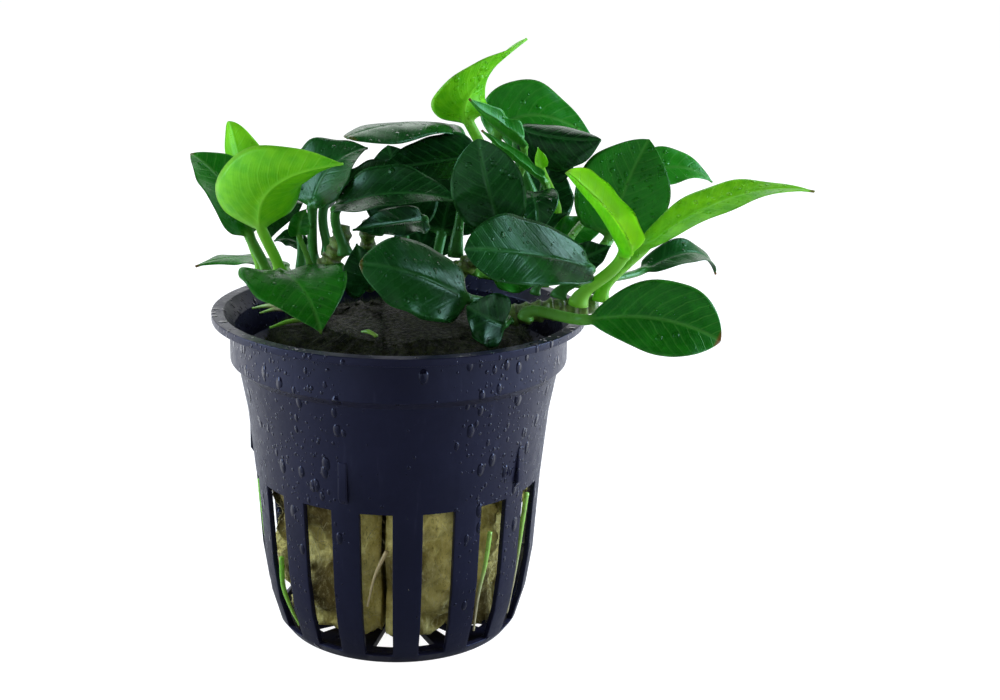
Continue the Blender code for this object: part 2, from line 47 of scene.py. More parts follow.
# Net pot: its walls are listed as (radius, height) from the base's disc to under the rim
POT_HEIGHT = 49.0
RIM_RADIUS = 27.5
RIM_FLAT = 1.8
RIM_THICKNESS = 1.1
BASE_DISC_RADIUS = 5.5
SLOT_COUNT = 15
SLOT_ANGLE = math.radians(12.5)
FIRST_SLOT = math.radians(-98.6)
SLOT_STEPS = 6
BAR_STEPS = 8
POT_OUTSIDE = (
    (BASE_DISC_RADIUS, 0.0), (14.5, 0.0), (17.2, 0.0), (18.4, 1.6), (19.8, 6.5), (20.7, 12.5),
    (21.5, 24.6), (22.5, 34.5), (23.7, 40.9), (24.9, 42.0))
POT_INSIDE = (
    (BASE_DISC_RADIUS, 1.2), (14.5, 1.2), (16.8, 1.2), (17.6, 1.9), (19.0, 6.7), (19.9, 12.6),
    (20.7, 24.6), (21.7, 34.6), (22.9, 41.2), (24.1, 42.3))
OPEN_ROWS = (0, 3, 4, 5)  # the base's slots, then the wall's
RIB_COUNT = 5
RIB_SIZE = (1.4, 1.3, 6.5)
RIB_HEIGHT = 29.0
RIB_RADIUS = 21.75
FIRST_RIB = math.radians(-110.6)
RIB_PROUD_AT_FOOT = 0.35
POT_BEVEL = 0.16
RIB_BEVEL = 0.2
BEVEL_ANGLE = math.radians(35)

# Rock wool: its levels are (height, radius)
WOOL_LEVELS = (
    (1.9, 14.0), (3.4, 16.8), (9.0, 18.6), (16.0, 19.4), (25.0, 19.9), (36.0, 20.6), (43.0, 20.8),
    (45.6, 18.6), (46.8, 12.0))
WOOL_INSET = 0.3
WOOL_PROUD = 0.35
WOOL_SEAM_X = -2.6
WOOL_SEAM_GAP = 0.9
WOOL_TOP = 44.0
WALL_CLOSED_FROM = 23.0
WOOL_ROWS = 90
WOOL_ARC_STEPS = 120
WOOL_SEAM_STEPS = 14
FIBRE_COUNT = 2600
MOSS_COUNT = 5200
STRAND_COUNT = 60
STRAND_RADIUS = 0.045
FIBRE_STEPS = 5
FIBRE_WANDER = 0.45

# Stems and roots
STEM_STEPS = 70
STEM_SIDES = 20
STEM_BUMPS = 0.10
SCAR_SPACING = 1.7
ROOT_SIDES = 10
ROOT_BUMPS = 0.12
SLOT_ROOT_OUT = 0.4

# Leaves
STALK_RADIUS = 0.8
STALK_STEPS = 14
STALK_FLATTENED = 0.72
FOOT_SWELL = 0.7
FOOT_SHARE = 0.28
BLADE_STEPS = 46
BLADE_START = 0.08
ACROSS_STEPS = 26
BLADE_THICKNESS = 0.36
GROOVE_DEPTH = 0.13
GROOVE_WIDTH = 0.28
KEEL_DEPTH = 0.6
KEEL_WIDTH = 0.7
FRAME_PLACE = 0.58
FIRST_SEED = 100

LIME = "leaf_lime"
GREEN = "leaf_green"
DARK = "leaf_dark"

# look is how a leaf's surface differs from its kind: tone with painted shading, wetness, brown at the
# tip
# lowest on leaves in the shaded middle and back, highest on backlit or sheened leaves
# the tone is partly the leaf's own colour and partly painted light and shade:
Leaf = namedtuple(
    "Leaf", "foot base middle tip width face look cup twist widest heel point lobe wave stalk colour",
    defaults=((0.4, 0.25, 0.0), 20, 0, 0.4, 0.5, 1.1, 1.5, 0.3, STALK_RADIUS, DARK))

LEAVES = {
    # left crown
    "leaf_left_lime": Leaf(
        (-17.6, 2.5, 52.6), (-20.2, -2.0, 61.8), (-17.4, -6.0, 68.4), (-7.9, -9.0, 71.8),
        15.0, (-0.6, 0.8, 0.1), (0.26, 0.0, 0.0), cup=60, widest=0.3, lobe=3.0, colour=LIME),
    "leaf_left_tall": Leaf(
        (-19.8, 5.4, 52.2), (-22.5, 4.8, 59.0), (-26.0, 6.4, 66.0), (-31.1, 9.0, 70.1),
        10.5, (0.5, -0.6, 0.6), (0.55, 0.5, 0.6), cup=25, point=0.8, colour=GREEN),
    "leaf_left_young": Leaf(
        (-20.8, 7.4, 51.9), (-23.0, 9.6, 59.0), (-24.1, 12.8, 66.8), (-26.1, 15.0, 74.2),
        9.2, (0.7, -0.7, 0.1), (0.55, 0.2, 0.0), cup=50, point=0.6, colour=LIME),
    "leaf_left_low": Leaf(
        (-17.0, 9.8, 50.8), (-17.6, 12.0, 52.1), (-23.7, 12.6, 53.6), (-31.0, 9.6, 52.9),
        7.5, (0.0, -0.05, 1.0), (0.45, 0.2, 1.0), cup=-10, colour=GREEN),
    "leaf_front_left": Leaf(
        (-14.2, -0.4, 52.5), (-17.6, -3.6, 55.0), (-13.6, -9.6, 53.9), (-10.8, -15.8, 49.3),
        15.0, (0.05, -0.35, 0.93), (0.30, 0.45, 0.3), cup=12, twist=30, widest=0.35, lobe=4.5,
        colour=GREEN),
    "leaf_left_large": Leaf(
        (-13.0, 4.9, 53.9), (-12.9, 2.4, 63.8), (-10.2, 3.5, 69.3), (-4.8, 4.6, 72.0),
        13.5, (-0.5, -0.55, 0.65), (1.0, 0.3, 0.0), cup=20),
    "leaf_left_heart": Leaf(
        (-13.2, 0.8, 54.6), (-14.8, 0.6, 59.8), (-14.6, 0.0, 61.8), (-13.6, 0.6, 63.6),
        3.6, (0.3, -0.9, 0.3), (0.3, 0.2, 0.0), cup=50, lobe=0.6, wave=0.1, stalk=0.4, colour=GREEN),
    "leaf_left_inner": Leaf(
        (-14.8, 7.4, 52.8), (-17.0, 9.8, 64.6), (-18.4, 6.4, 62.6), (-19.4, 4.6, 58.0),
        6.8, (0.2, -0.9, 0.4), lobe=1.0, stalk=0.6),
    "leaf_left_small": Leaf(
        (-13.2, 8.4, 52.4), (-14.4, 10.0, 55.8), (-16.8, 10.8, 57.0), (-19.2, 11.0, 56.6),
        3.6, (0.0, -0.6, 0.8), lobe=0.5, wave=0.1, stalk=0.5),
    # middle crown
    "leaf_inner_shade": Leaf(
        (-10.8, 4.4, 56.1), (-11.4, 4.8, 63.6), (-6.2, 7.0, 66.8), (-0.6, 8.4, 69.8),
        9.0, (-0.3, 0.5, 0.8), (0.0, 0.0, 0.0)),
    "leaf_middle_long": Leaf(
        (-8.2, -1.0, 57.3), (-9.4, -3.5, 64.5), (-1.0, -6.5, 67.2), (8.3, -10.0, 66.8),
        10.0, (0.0, -0.5, 0.86), (0.15, 0.15, 0.0), cup=35, widest=0.45),
    "leaf_middle_low": Leaf(
        (-3.8, 5.8, 59.0), (3.8, 0.5, 62.2), (-1.0, -4.0, 62.4), (-6.6, -8.0, 62.3),
        5.6, (0.0, -0.75, 0.65), (0.0, 0.0, 0.0), lobe=0.8),
    "leaf_front_dark": Leaf(
        (-7.0, -0.4, 52.2), (-3.8, -3.4, 53.2), (-5.2, -5.4, 56.0), (-6.2, -5.4, 59.8),
        7.5, (0.0, -0.9, 0.45), (0.2, 0.1, 0.0)),
    # back crown
    "leaf_top_curled": Leaf(
        (8.6, 10.2, 54.6), (8.8, 10.2, 74.4), (0.6, 3.8, 75.7), (-7.6, -2.6, 74.5),
        9.6, (-0.05, -0.15, 1.0), (0.8, 0.7, 0.3), cup=-30, widest=0.68, point=0.5),
    "leaf_centre_shade": Leaf(
        (12.6, 6.4, 59.0), (11.4, 3.8, 71.1), (4.5, 1.4, 70.4), (-3.5, -1.0, 69.4),
        9.5, (0.3, -0.55, 0.8), (0.0, 0.1, 0.0)),
    "leaf_top_lime": Leaf(
        (15.6, 7.9, 62.4), (9.7, 8.2, 76.2), (10.7, 6.7, 81.0), (18.4, 8.0, 87.9),
        9.8, (-0.7, 0.65, 0.3), (0.18, 0.9, 0.0), cup=20, twist=105, widest=0.3, heel=0.4, point=0.75,
        colour=LIME),
    "leaf_top_wide": Leaf(
        (17.0, 8.8, 64.6), (14.4, 12.6, 73.4), (20.8, 13.6, 75.9), (29.6, 14.6, 72.4),
        11.5, (-0.05, -0.75, 0.65), (0.5, 0.1, 0.0), lobe=2.5, colour=GREEN),
    "leaf_top_dark": Leaf(
        (19.4, 6.0, 64.4), (17.5, 5.6, 75.0), (23.2, 4.6, 73.8), (29.4, 3.4, 73.8),
        10.0, (0.1, -0.7, 0.7), (0.0, 0.0, 0.0), cup=-65, widest=0.58, point=0.8, wave=0.1),
    "leaf_top_folded": Leaf(
        (17.0, 3.2, 65.4), (18.0, 1.4, 73.2), (13.8, -0.6, 76.0), (9.7, -2.0, 80.2),
        6.4, (0.4, -0.3, 0.8), (0.7, 0.1, 1.0), cup=75, lobe=0.5, stalk=0.6, colour=GREEN),
    "leaf_top_spear": Leaf(
        (21.4, 3.0, 63.0), (20.6, -4.2, 68.9), (15.8, -6.8, 72.6), (11.2, -9.0, 76.7),
        3.0, (0.5, -0.5, 0.5), (0.7, 0.0, 1.0), cup=110, lobe=0.2, wave=0.0, stalk=0.6, colour=GREEN),
    "leaf_top_tiny": Leaf(
        (23.4, 3.8, 62.8), (20.4, -1.4, 70.4), (20.0, -2.0, 71.8), (19.6, -2.4, 73.4),
        2.2, (0.0, -1.0, 0.2), cup=50, lobe=0.3, wave=0.0, stalk=0.35, colour=LIME),
    "leaf_centre_back": Leaf(
        (21.2, 5.6, 61.8), (21.8, 8.8, 67.0), (23.0, 9.0, 70.8), (24.8, 9.2, 73.8),
        7.4, (-0.2, -0.9, 0.3), (0.0, 0.0, 0.0), stalk=0.6),
    "leaf_centre_large": Leaf(
        (15.0, 2.2, 60.0), (14.0, -8.4, 63.2), (12.0, -10.8, 69.4), (10.6, -11.2, 75.8),
        10.4, (-0.15, -0.95, 0.3), (0.45, 0.3, 0.0), widest=0.5, point=0.65),
    "leaf_centre_glossy": Leaf(
        (17.4, 1.6, 61.6), (18.2, -3.2, 66.9), (19.0, -8.2, 66.4), (19.4, -9.9, 61.8),
        7.0, (0.1, -0.7, 0.65), (0.1, 0.5, 0.0), stalk=0.6),
    # right crown
    "leaf_front_centre": Leaf(
        (13.2, -9.2, 51.0), (9.3, -12.6, 53.6), (1.8, -16.6, 58.0), (-5.5, -18.0, 59.6),
        12.0, (0.1, -0.75, 0.65), (0.7, 0.45, 0.4), cup=-15, widest=0.45, point=0.65),
    "leaf_right_front": Leaf(
        (22.6, -9.8, 53.2), (27.4, -9.6, 57.4), (17.4, -16.4, 60.9), (8.6, -20.0, 62.2),
        10.6, (0.1, -0.8, 0.6), (0.45, 0.3, 0.0), twist=-30, widest=0.6, point=0.6),
    "leaf_right_round": Leaf(
        (25.2, -6.2, 53.8), (31.4, 3.0, 59.4), (33.7, 5.5, 66.5), (37.3, 8.5, 73.2),
        14.4, (-0.1, -0.85, 0.5), (0.60, 0.9, 0.0), widest=0.45, point=0.8, colour=GREEN),
    "leaf_right_lime": Leaf(
        (25.4, -11.2, 52.4), (31.6, -12.4, 60.2), (27.2, -13.0, 66.8), (22.6, -14.0, 71.8),
        8.5, (0.75, -0.5, 0.4), (1.0, 0.0, 0.3), cup=95, widest=0.2, point=0.45, stalk=1.0,
        colour=LIME),
    "leaf_right_long": Leaf(
        (28.4, -10.2, 52.8), (34.5, -7.5, 59.7), (46.5, -7.0, 67.1), (59.5, -5.0, 68.0),
        6.8, (-0.35, -0.4, 0.85), (0.26, 0.9, 1.0), colour=LIME),
    "leaf_right_back": Leaf(
        (22.8, -3.6, 53.8), (33.0, 12.6, 64.8), (41.6, 13.6, 68.2), (48.5, 14.6, 65.8),
        7.0, (0.0, -0.7, 0.7), (1.0, 0.8, 0.0), stalk=0.6, colour=GREEN),
    "leaf_right_low_back": Leaf(
        (28.6, -5.6, 52.6), (36.4, 3.0, 54.2), (44.5, 6.5, 56.3), (48.8, 9.0, 52.4),
        5.4, (0.1, -0.4, 0.9), (0.9, 0.3, 1.0), stalk=0.6),
    "leaf_right_low_front": Leaf(
        (17.6, -11.2, 50.4), (25.8, -16.0, 51.4), (35.2, -19.0, 52.5), (43.8, -21.0, 49.9),
        11.5, (0.0, -0.8, 0.6), (0.22, 0.1, 1.0), widest=0.65, heel=1.0, point=0.7, lobe=0.3,
        colour=GREEN),
    "leaf_right_olive": Leaf(
        (20.8, -4.6, 53.4), (23.1, 4.0, 58.4), (27.2, 5.6, 59.7), (31.0, 6.6, 60.0),
        5.4, (0.0, -0.7, 0.7), lobe=0.5, stalk=0.5, colour=GREEN),
    "leaf_right_shade": Leaf(
        (19.4, -6.4, 52.8), (23.7, -7.0, 56.8), (27.2, -6.6, 58.5), (30.2, -6.0, 59.9),
        5.0, (0.0, -0.7, 0.7), (0.0, 0.0, 0.0), lobe=0.5, stalk=0.5),
    "leaf_pot_inner": Leaf(
        (15.6, -10.6, 49.8), (14.6, -13.4, 49.9), (12.0, -14.6, 51.4), (9.2, -15.4, 53.2),
        8.0, (-0.2, -0.85, 0.5), (0.1, 0.2, 0.0), lobe=0.8, point=0.8, stalk=0.5),
    # leaves at the back, away from the front view
    "leaf_back_left": Leaf(
        (1.0, 10.6, 50.6), (0.5, 14.0, 58.0), (-0.5, 17.0, 64.5), (-2.0, 20.5, 70.0),
        12.0, (0.1, -0.8, 0.6), (0.0, 0.0, 0.0), point=0.8),
    "leaf_back_middle": Leaf(
        (5.6, 13.0, 52.2), (6.5, 16.0, 57.0), (8.0, 19.0, 63.0), (9.5, 23.0, 69.0),
        13.0, (0.0, -0.8, 0.6), (0.0, 0.0, 0.0), point=0.8),
    "leaf_back_right": Leaf(
        (14.6, 9.0, 58.0), (20.4, 13.4, 59.1), (22.3, 17.0, 63.6), (24.2, 20.0, 67.2),
        10.5, (0.1, -0.8, 0.6), (0.1, 0.0, 0.0), point=0.8),
    "leaf_back_low_middle": Leaf(
        (3.4, 14.6, 50.6), (3.7, 15.6, 53.1), (3.0, 17.4, 55.5), (1.5, 19.6, 58.2),
        12.0, (0.0, -0.8, 0.5), (0.0, 0.0, 0.0), point=0.8),
    "leaf_back_low_right": Leaf(
        (11.6, 9.6, 51.8), (14.5, 10.2, 51.7), (18.5, 10.8, 52.4), (22.9, 11.6, 52.9),
        8.0, (0.1, -0.75, 0.65), point=0.8, colour=GREEN),
}

RHIZOMES = {
    "rhizome_left": (((-21.0, 9.0, 49.6), (-16.0, 3.6, 50.4), (-10.8, 1.6, 52.6), (-9.0, 1.4, 57.0),
                      (-8.2, 1.8, 61.0)), 1.5),
    "rhizome_middle": (((-4.6, 12.0, 48.8), (-4.8, 10.0, 53.0), (-5.0, 8.0, 60.4)), 1.2),
    "rhizome_back": (((2.0, 13.0, 48.8), (8.0, 10.0, 51.0), (14.0, 6.0, 56.5), (18.0, 4.6, 61.5)),
                     1.5),
    "rhizome_right": (((12.5, -6.5, 48.9), (18.5, -7.8, 50.6), (24.0, -8.4, 51.3),
                       (28.4, -8.2, 51.9)), 1.6),
}

SLOT_ROOTS = {
    "root_slot_left": (((-57.0, 14.0), (-59.5, 9.0), (-56.0, 5.5), (-52.6, 3.2)), 0.4),
    "root_slot_left_edge": (((-80.0, 23.5), (-79.5, 18.0), (-79.0, 12.0)), 0.4),
    "root_slot_front": (((-4.6, 19.0), (-9.4, 15.0), (-12.8, 10.0)), 0.3),
    "root_slot_right": (((39.0, 20.0), (37.6, 15.0), (35.4, 10.0), (36.4, 4.0)), 0.35),
    "root_slot_right_edge": (((63.0, 23.5), (60.6, 17.0), (59.2, 11.0), (61.0, 4.0)), 0.4),
}

TOP_ROOTS = {
    "root_top_1": ((-22.0, 4.0, 47.8), (-16.6, 1.2, 48.6), 0.35),
    "root_top_2": ((-20.6, 0.6, 47.9), (-16.6, 0.0, 48.6), 0.3),
    "root_top_3": ((-18.6, -6.6, 47.6), (-13.2, -5.0, 48.4), 0.35),
    "root_top_4": ((-5.4, -10.6, 48.2), (-3.2, -12.0, 47.9), 0.3),
}


# Shapes

def smooth(value):
    """Ease from 0 to 1."""
    value = min(max(value, 0.0), 1.0)
    return value * value * (3.0 - 2.0 * value)


def polar(radius, angle, height):
    """Give the point at a radius and an angle about the pot's axis."""
    return Vector((radius * math.cos(angle), radius * math.sin(angle), height))


def bezier(controls, share):
    """Give a point on a Bezier curve with any number of control points."""
    points = [Vector(control) for control in controls]
    while len(points) > 1:
        points = [a.lerp(b, share) for a, b in zip(points, points[1:])]
    return points[0]


def loft(rings):
    """Join rings of equal length into one closed body, with a flat cap at each end."""
    count = len(rings[0])
    points = [point for ring in rings for point in ring]
    faces = [tuple(reversed(range(count)))]
    for row in range(len(rings) - 1):
        for place in range(count):
            after = (place + 1) % count
            low = row * count
            high = low + count
            faces.append((low + place, low + after, high + after, high + place))
    last = (len(rings) - 1) * count
    faces.append(tuple(range(last, last + count)))
    return points, faces


def make_piece(name, points, faces, look, slot, nodes, facts=None):
    """Make one smooth piece from points in millimetres and tie it to the model."""
    mesh = bpy.data.meshes.new(name)
    mesh.from_pydata([point * METRES_PER_MM for point in points], [], faces)
    for key, values in (facts or {}).items():
        attribute = mesh.attributes.new(key, "FLOAT_VECTOR", "POINT")
        attribute.data.foreach_set("vector", [number for value in values for number in value])
    mesh.materials.append(look)
    mesh.shade_smooth()
    piece = bpy.data.objects.new(name, mesh)
    bpy.context.scene.collection.objects.link(piece)
    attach(piece, "root")
    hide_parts(*nodes)
    return piece


def carried_frames(points, face, start):
    """Carry a direction along a line of points without spinning it."""
    last = len(points) - 1
    along = [(points[min(i + 1, last)] - points[max(i - 1, 0)]).normalized()
             for i in range(len(points))]
    ups = [None] * len(points)
    face = Vector(face)
    ups[start] = (face - along[start] * face.dot(along[start])).normalized()
    for index in range(start + 1, len(points)):
        ups[index] = along[index - 1].rotation_difference(along[index]) @ ups[index - 1]
    for index in range(start - 1, -1, -1):
        ups[index] = along[index + 1].rotation_difference(along[index]) @ ups[index + 1]
    return along, ups


# Leaves

def blade_share(shape, place):
    """Give a blade's half width at a place from base (0) to tip (1), as a share of its widest."""
    if place < shape.widest:
        back = 1.0 - place / shape.widest
        return max(0.0, 1.0 - back ** 2.4) ** shape.heel
    ahead = (place - shape.widest) / (1.0 - shape.widest)
    return max(0.0, math.cos(ahead * math.pi / 2)) ** shape.point


def leaf_midline(shape):
    """List a leaf's midline points, each with its place on the blade, below 0 on the stalk."""
    foot, base, middle, tip = (Vector(p) for p in (shape.foot, shape.base, shape.middle, shape.tip))
    bend = middle * 2 - (base + tip) / 2
    length = (base - foot).length
    arrive = ((bend - base).normalized() + (base - foot).normalized()).normalized()
    rise = foot + Vector((0.0, 0.0, length * 0.3))
    line = []
    for step in range(STALK_STEPS):
        share = step / STALK_STEPS
        line.append((bezier((foot, rise, base - arrive * length * 0.3, base), share), share - 1.0))
    for step in range(BLADE_STEPS + 1):
        share = step / BLADE_STEPS
        place = 0.45 * share + 0.55 * (1.0 - math.cos(math.pi * share)) / 2
        line.append((bezier((base, bend, tip), place), place))
    points = [point for point, _ in line]
    for _ in range(12):
        before = list(points)
        for index in range(1, len(points) - 1):
            near = smooth(1.6 - abs(index - STALK_STEPS) / 5.0)
            even = (before[index - 1] + before[index + 1]) / 2
            points[index] = before[index].lerp(even, 0.6 * near)
    return points, [place for _, place in line]


def across_steps():
    """List the places across a leaf, over the upper skin and back under the lower one."""
    half = ACROSS_STEPS // 2
    upper = []
    for step in range(-half, half + 1):
        share = abs(step) / half
        upper.append(math.copysign(share ** 1.5, step))
    return [(place, 1.0) for place in upper] + [(place, -1.0) for place in reversed(upper[1:-1])]


def build_leaf(name, shape, seed):
    """Build one leaf, stalk and blade, as a closed body with its measures on its points."""
    chance = random.Random(seed)
    points, places = leaf_midline(shape)
    start = min(range(len(points)), key=lambda i: abs(places[i] - FRAME_PLACE))
    along, ups = carried_frames(points, shape.face, start)
    blade_length = sum((points[i + 1] - points[i]).length
                       for i in range(STALK_STEPS, len(points) - 1))
    tone_and_shading, wet, brown = shape.look
    edge_waves = [(chance.uniform(1.6, 3.4), chance.uniform(0, math.tau), chance.uniform(0.1, 0.28))
                  for _ in range(4)]
    edge_lean = math.radians(shape.cup)
    facts = {"leaf_at": [], "leaf_mm": [], "leaf_kind": [], "leaf_extra": []}
    rings = []
    for index, centre in enumerate(points):
        place = places[index]
        on_blade = max(place, 0.0)
        up = Quaternion(along[index], math.radians(shape.twist) * (on_blade - 0.5)) @ ups[index]
        side = along[index].cross(up)
        blade = smooth(on_blade / BLADE_START)
        share = blade_share(shape, on_blade)
        stalk = shape.stalk * (1.0 - 0.75 * on_blade)
        stalk *= 1.0 + FOOT_SWELL * smooth(1.0 - (1.0 + place) / FOOT_SHARE)
        half = max(shape.width / 2 * share, stalk * 0.8)
        ripple = shape.wave * share * math.sin(math.tau * (1.3 * on_blade + 0.2))
        lag = shape.lobe * share * (1.0 - on_blade) ** 3
        ring = []
        for across, skin in across_steps():
            lean = edge_lean * across
            out = half * math.sin(lean) / edge_lean
            lift = half * (1.0 - math.cos(lean)) / edge_lean + ripple * across
            for beats, phase, depth in edge_waves[:2] if across < 0 else edge_waves[2:]:
                wave = math.sin(math.tau * beats * on_blade + phase)
                lift += depth * share * abs(across) ** 3 * wave
            reach = half * across
            lift += skin * BLADE_THICKNESS / 2 * (1.0 - 0.7 * abs(across) ** 3)
            round_out = stalk * math.sin(math.pi / 2 * across)
            round_lift = skin * stalk * math.cos(math.pi / 2 * across)
            if skin > 0:
                lift -= GROOVE_DEPTH * (1.0 - 0.5 * on_blade) * math.exp(-(reach / GROOVE_WIDTH) ** 2)
                if place < 0:
                    round_lift *= STALK_FLATTENED
            else:
                keel = math.exp(-(reach / (KEEL_WIDTH * stalk)) ** 2)
                lift -= KEEL_DEPTH * stalk * (1.0 - 0.3 * on_blade) * keel
            ring.append(centre + side * (round_out + (out - round_out) * blade)
                        + up * (round_lift + (lift - round_lift) * blade)
                        - along[index] * lag * across * across)
            facts["leaf_at"].append((across, place, 0.0))
            facts["leaf_mm"].append((reach, place * blade_length, 0.0))
            facts["leaf_kind"].append((1.0 if skin > 0 else 0.0, blade, tone_and_shading))
            facts["leaf_extra"].append((wet, brown, 0.0))
        rings.append(ring)
    body, faces = loft(rings)
    make_piece("look_" + name, body, faces, LEAF_MATERIALS[shape.colour], shape.colour, [name], facts)


# Pot

def pot_angles():
    """List the angles of the wall's columns and which panels are slots."""
    angles = []
    slots = []
    pitch = math.tau / SLOT_COUNT
    for number in range(SLOT_COUNT):
        middle = FIRST_SLOT + number * pitch
        for step in range(SLOT_STEPS):
            angles.append(middle + SLOT_ANGLE * (step / SLOT_STEPS - 0.5))
            slots.append(True)
        for step in range(BAR_STEPS):
            angles.append(middle + SLOT_ANGLE / 2 + (pitch - SLOT_ANGLE) * step / BAR_STEPS)
            slots.append(False)
    return angles, slots


def build_pot():
    """Build the net pot and its ribs."""
    angles, slots = pot_angles()
    columns = len(angles)
    levels = len(POT_OUTSIDE)
    rim_top = POT_HEIGHT - RIM_THICKNESS
    rim = (
        (POT_OUTSIDE[-1][0], rim_top), (RIM_RADIUS, rim_top), (RIM_RADIUS, POT_HEIGHT),
        (RIM_RADIUS - RIM_FLAT, POT_HEIGHT), (POT_INSIDE[-1][0], POT_HEIGHT - 2 * RIM_THICKNESS))
    rows = list(POT_OUTSIDE) + list(rim) + list(reversed(POT_INSIDE))
    points = [polar(radius, angle, height) for radius, height in rows for angle in angles]
    under_centre = len(points)
    floor_centre = under_centre + 1
    points += [Vector((0.0, 0.0, 0.0)), Vector((0.0, 0.0, POT_INSIDE[0][1]))]

    def outer(level, column):
        return level * columns + column % columns

    def inner(level, column):
        return outer(len(rows) - 1 - level, column)

    def is_open(level, column):
        return slots[column % columns] and level in OPEN_ROWS

    faces = []
    for column in range(columns):
        after = column + 1
        faces.append((under_centre, outer(0, after), outer(0, column)))
        faces.append((floor_centre, inner(0, column), inner(0, after)))
        for row in range(levels - 1, levels + len(rim)):
            faces.append((outer(row, column), outer(row, after),
                          outer(row + 1, after), outer(row + 1, column)))
        for level in range(levels - 1):
            if is_open(level, column):
                continue
            above = level + 1
            faces.append((outer(level, column), outer(level, after),
                          outer(above, after), outer(above, column)))
            faces.append((inner(level, after), inner(level, column),
                          inner(above, column), inner(above, after)))
            if is_open(level, after):
                faces.append((outer(level, after), inner(level, after),
                              inner(above, after), outer(above, after)))
            if is_open(level, column - 1):
                faces.append((inner(level, column), outer(level, column),
                              outer(above, column), inner(above, column)))
            if above < levels - 1 and is_open(above, column):
                faces.append((outer(above, column), outer(above, after),
                              inner(above, after), inner(above, column)))
            if level > 0 and is_open(level - 1, column):
                faces.append((outer(level, after), outer(level, column),
                              inner(level, column), inner(level, after)))
    for column in range(columns):
        if is_open(0, column):
            faces.append((outer(0, column), outer(0, column + 1),
                          inner(0, column + 1), inner(0, column)))
    pot = make_piece("look_net_pot", points, faces, POT_MATERIAL, "pot_plastic", ["net_pot"])
    soften(pot, POT_BEVEL)
    rib_points = []
    rib_faces = []
    for number in range(RIB_COUNT):
        rib_body(FIRST_RIB + math.tau * number / RIB_COUNT, rib_points, rib_faces)
    ribs = make_piece("look_pot_ribs", rib_points, rib_faces, POT_MATERIAL, "pot_plastic", [])
    soften(ribs, RIB_BEVEL)


def soften(piece, width):
    """Round a moulded piece's edges."""
    bevel = piece.modifiers.new("soft_edges", "BEVEL")
    bevel.width = width * METRES_PER_MM
    bevel.segments = 2
    bevel.limit_method = "ANGLE"
    bevel.angle_limit = BEVEL_ANGLE
    normals = piece.modifiers.new("even_shading", "WEIGHTED_NORMAL")
    normals.keep_sharp = True


def rib_body(angle, points, faces):
    """Add one short upright rib, tapered into the wall at its lower end."""
    first = len(points)
    width, depth, height = RIB_SIZE
    for level, proud in ((-0.5, RIB_PROUD_AT_FOOT), (-0.3, 1.0), (0.5, 1.0)):
        for side, is_outer in ((-0.5, False), (0.5, False), (0.5, True), (-0.5, True)):
            radius = RIB_RADIUS + depth * (-0.5 + proud if is_outer else -0.5)
            turn = math.atan2(side * width, radius)
            points.append(polar(radius, angle + turn, RIB_HEIGHT + height * level))
    faces.append((first, first + 3, first + 2, first + 1))
    for row in (first, first + 4):
        for place in range(4):
            after = (place + 1) % 4
            faces.append((row + place, row + after, row + 4 + after, row + 4 + place))
    faces.append((first + 8, first + 9, first + 10, first + 11))


# Rock wool

def wool_radius(height):
    """Give the wool's radius at a height."""
    for (low, low_radius), (high, high_radius) in zip(WOOL_LEVELS, WOOL_LEVELS[1:]):
        if height <= high:
            share = (height - low) / (high - low)
            return low_radius + (high_radius - low_radius) * (smooth(share) + share) / 2
    return WOOL_LEVELS[-1][1]


def wool_dent(point):
    """Give how far the wool's surface is pulled in at a point."""
    slow = noise.fractal(point * 0.16, 1.0, 2.1, 3)
    fold = abs(noise.noise(point * Vector((0.34, 0.34, 0.15)) + Vector((7.0, 3.0, 1.0))))
    fine = noise.fractal(point * 1.1, 0.9, 2.2, 3)
    return 0.75 + 2.0 * slow + 1.9 * (0.35 - fold) + 0.36 * fine


def wool_ring(height, seam, side):
    """List the points of a half round at a height, closed along the seam."""
    radius = wool_radius(height)
    reach = math.sqrt(radius * radius - seam * seam)
    start = math.atan2(-reach, seam)
    end = math.atan2(reach, seam)
    if side < 0:
        start, end = end, start + math.tau
    ring = [polar(radius - WOOL_INSET, start + (end - start) * step / WOOL_ARC_STEPS, height)
            for step in range(WOOL_ARC_STEPS + 1)]
    return ring + [ring[-1].lerp(ring[0], step / WOOL_SEAM_STEPS) for step in range(1, WOOL_SEAM_STEPS)]


def matted(point, seam, side):
    """Move a point of a smooth wool block to where the lumpy one has it."""
    outward = Vector((point.x, point.y, 0.0)).normalized()
    at_top = smooth((point.z - WOOL_TOP + 1.5) / 2.5)
    at_foot = 1.0 - smooth((point.z - WOOL_LEVELS[0][0]) / 6.0)
    behind_wall = smooth((point.z - WALL_CLOSED_FROM) / 3.0)
    dent = max(wool_dent(point), -WOOL_PROUD) * (1.0 - 0.8 * behind_wall)
    beside = abs(point.x - seam)
    inward = dent * (1.0 - 0.6 * at_top) + 1.8 * (1.0 - at_top) * math.exp(-(beside / 1.2) ** 2)
    lift = at_top * (0.9 * noise.fractal(point * 0.45, 0.9, 2.0, 3) + 0.3 * noise.noise(point * 2.3))
    ragged = noise.noise(Vector((point.x, point.y, 5.0)) * 0.22) - 0.02
    lift += at_foot * 5.0 * max(0.0, ragged)
    lean = 0.105 * noise.noise(point * 0.5 + Vector((0.0, 9.0, 0.0)))
    closing = smooth((point.z - WOOL_TOP + 5.0) / 3.0) * math.exp(-(beside / 2.5) ** 2)
    return point - outward * inward + Vector((lean - side * 0.55 * closing, lean, lift))


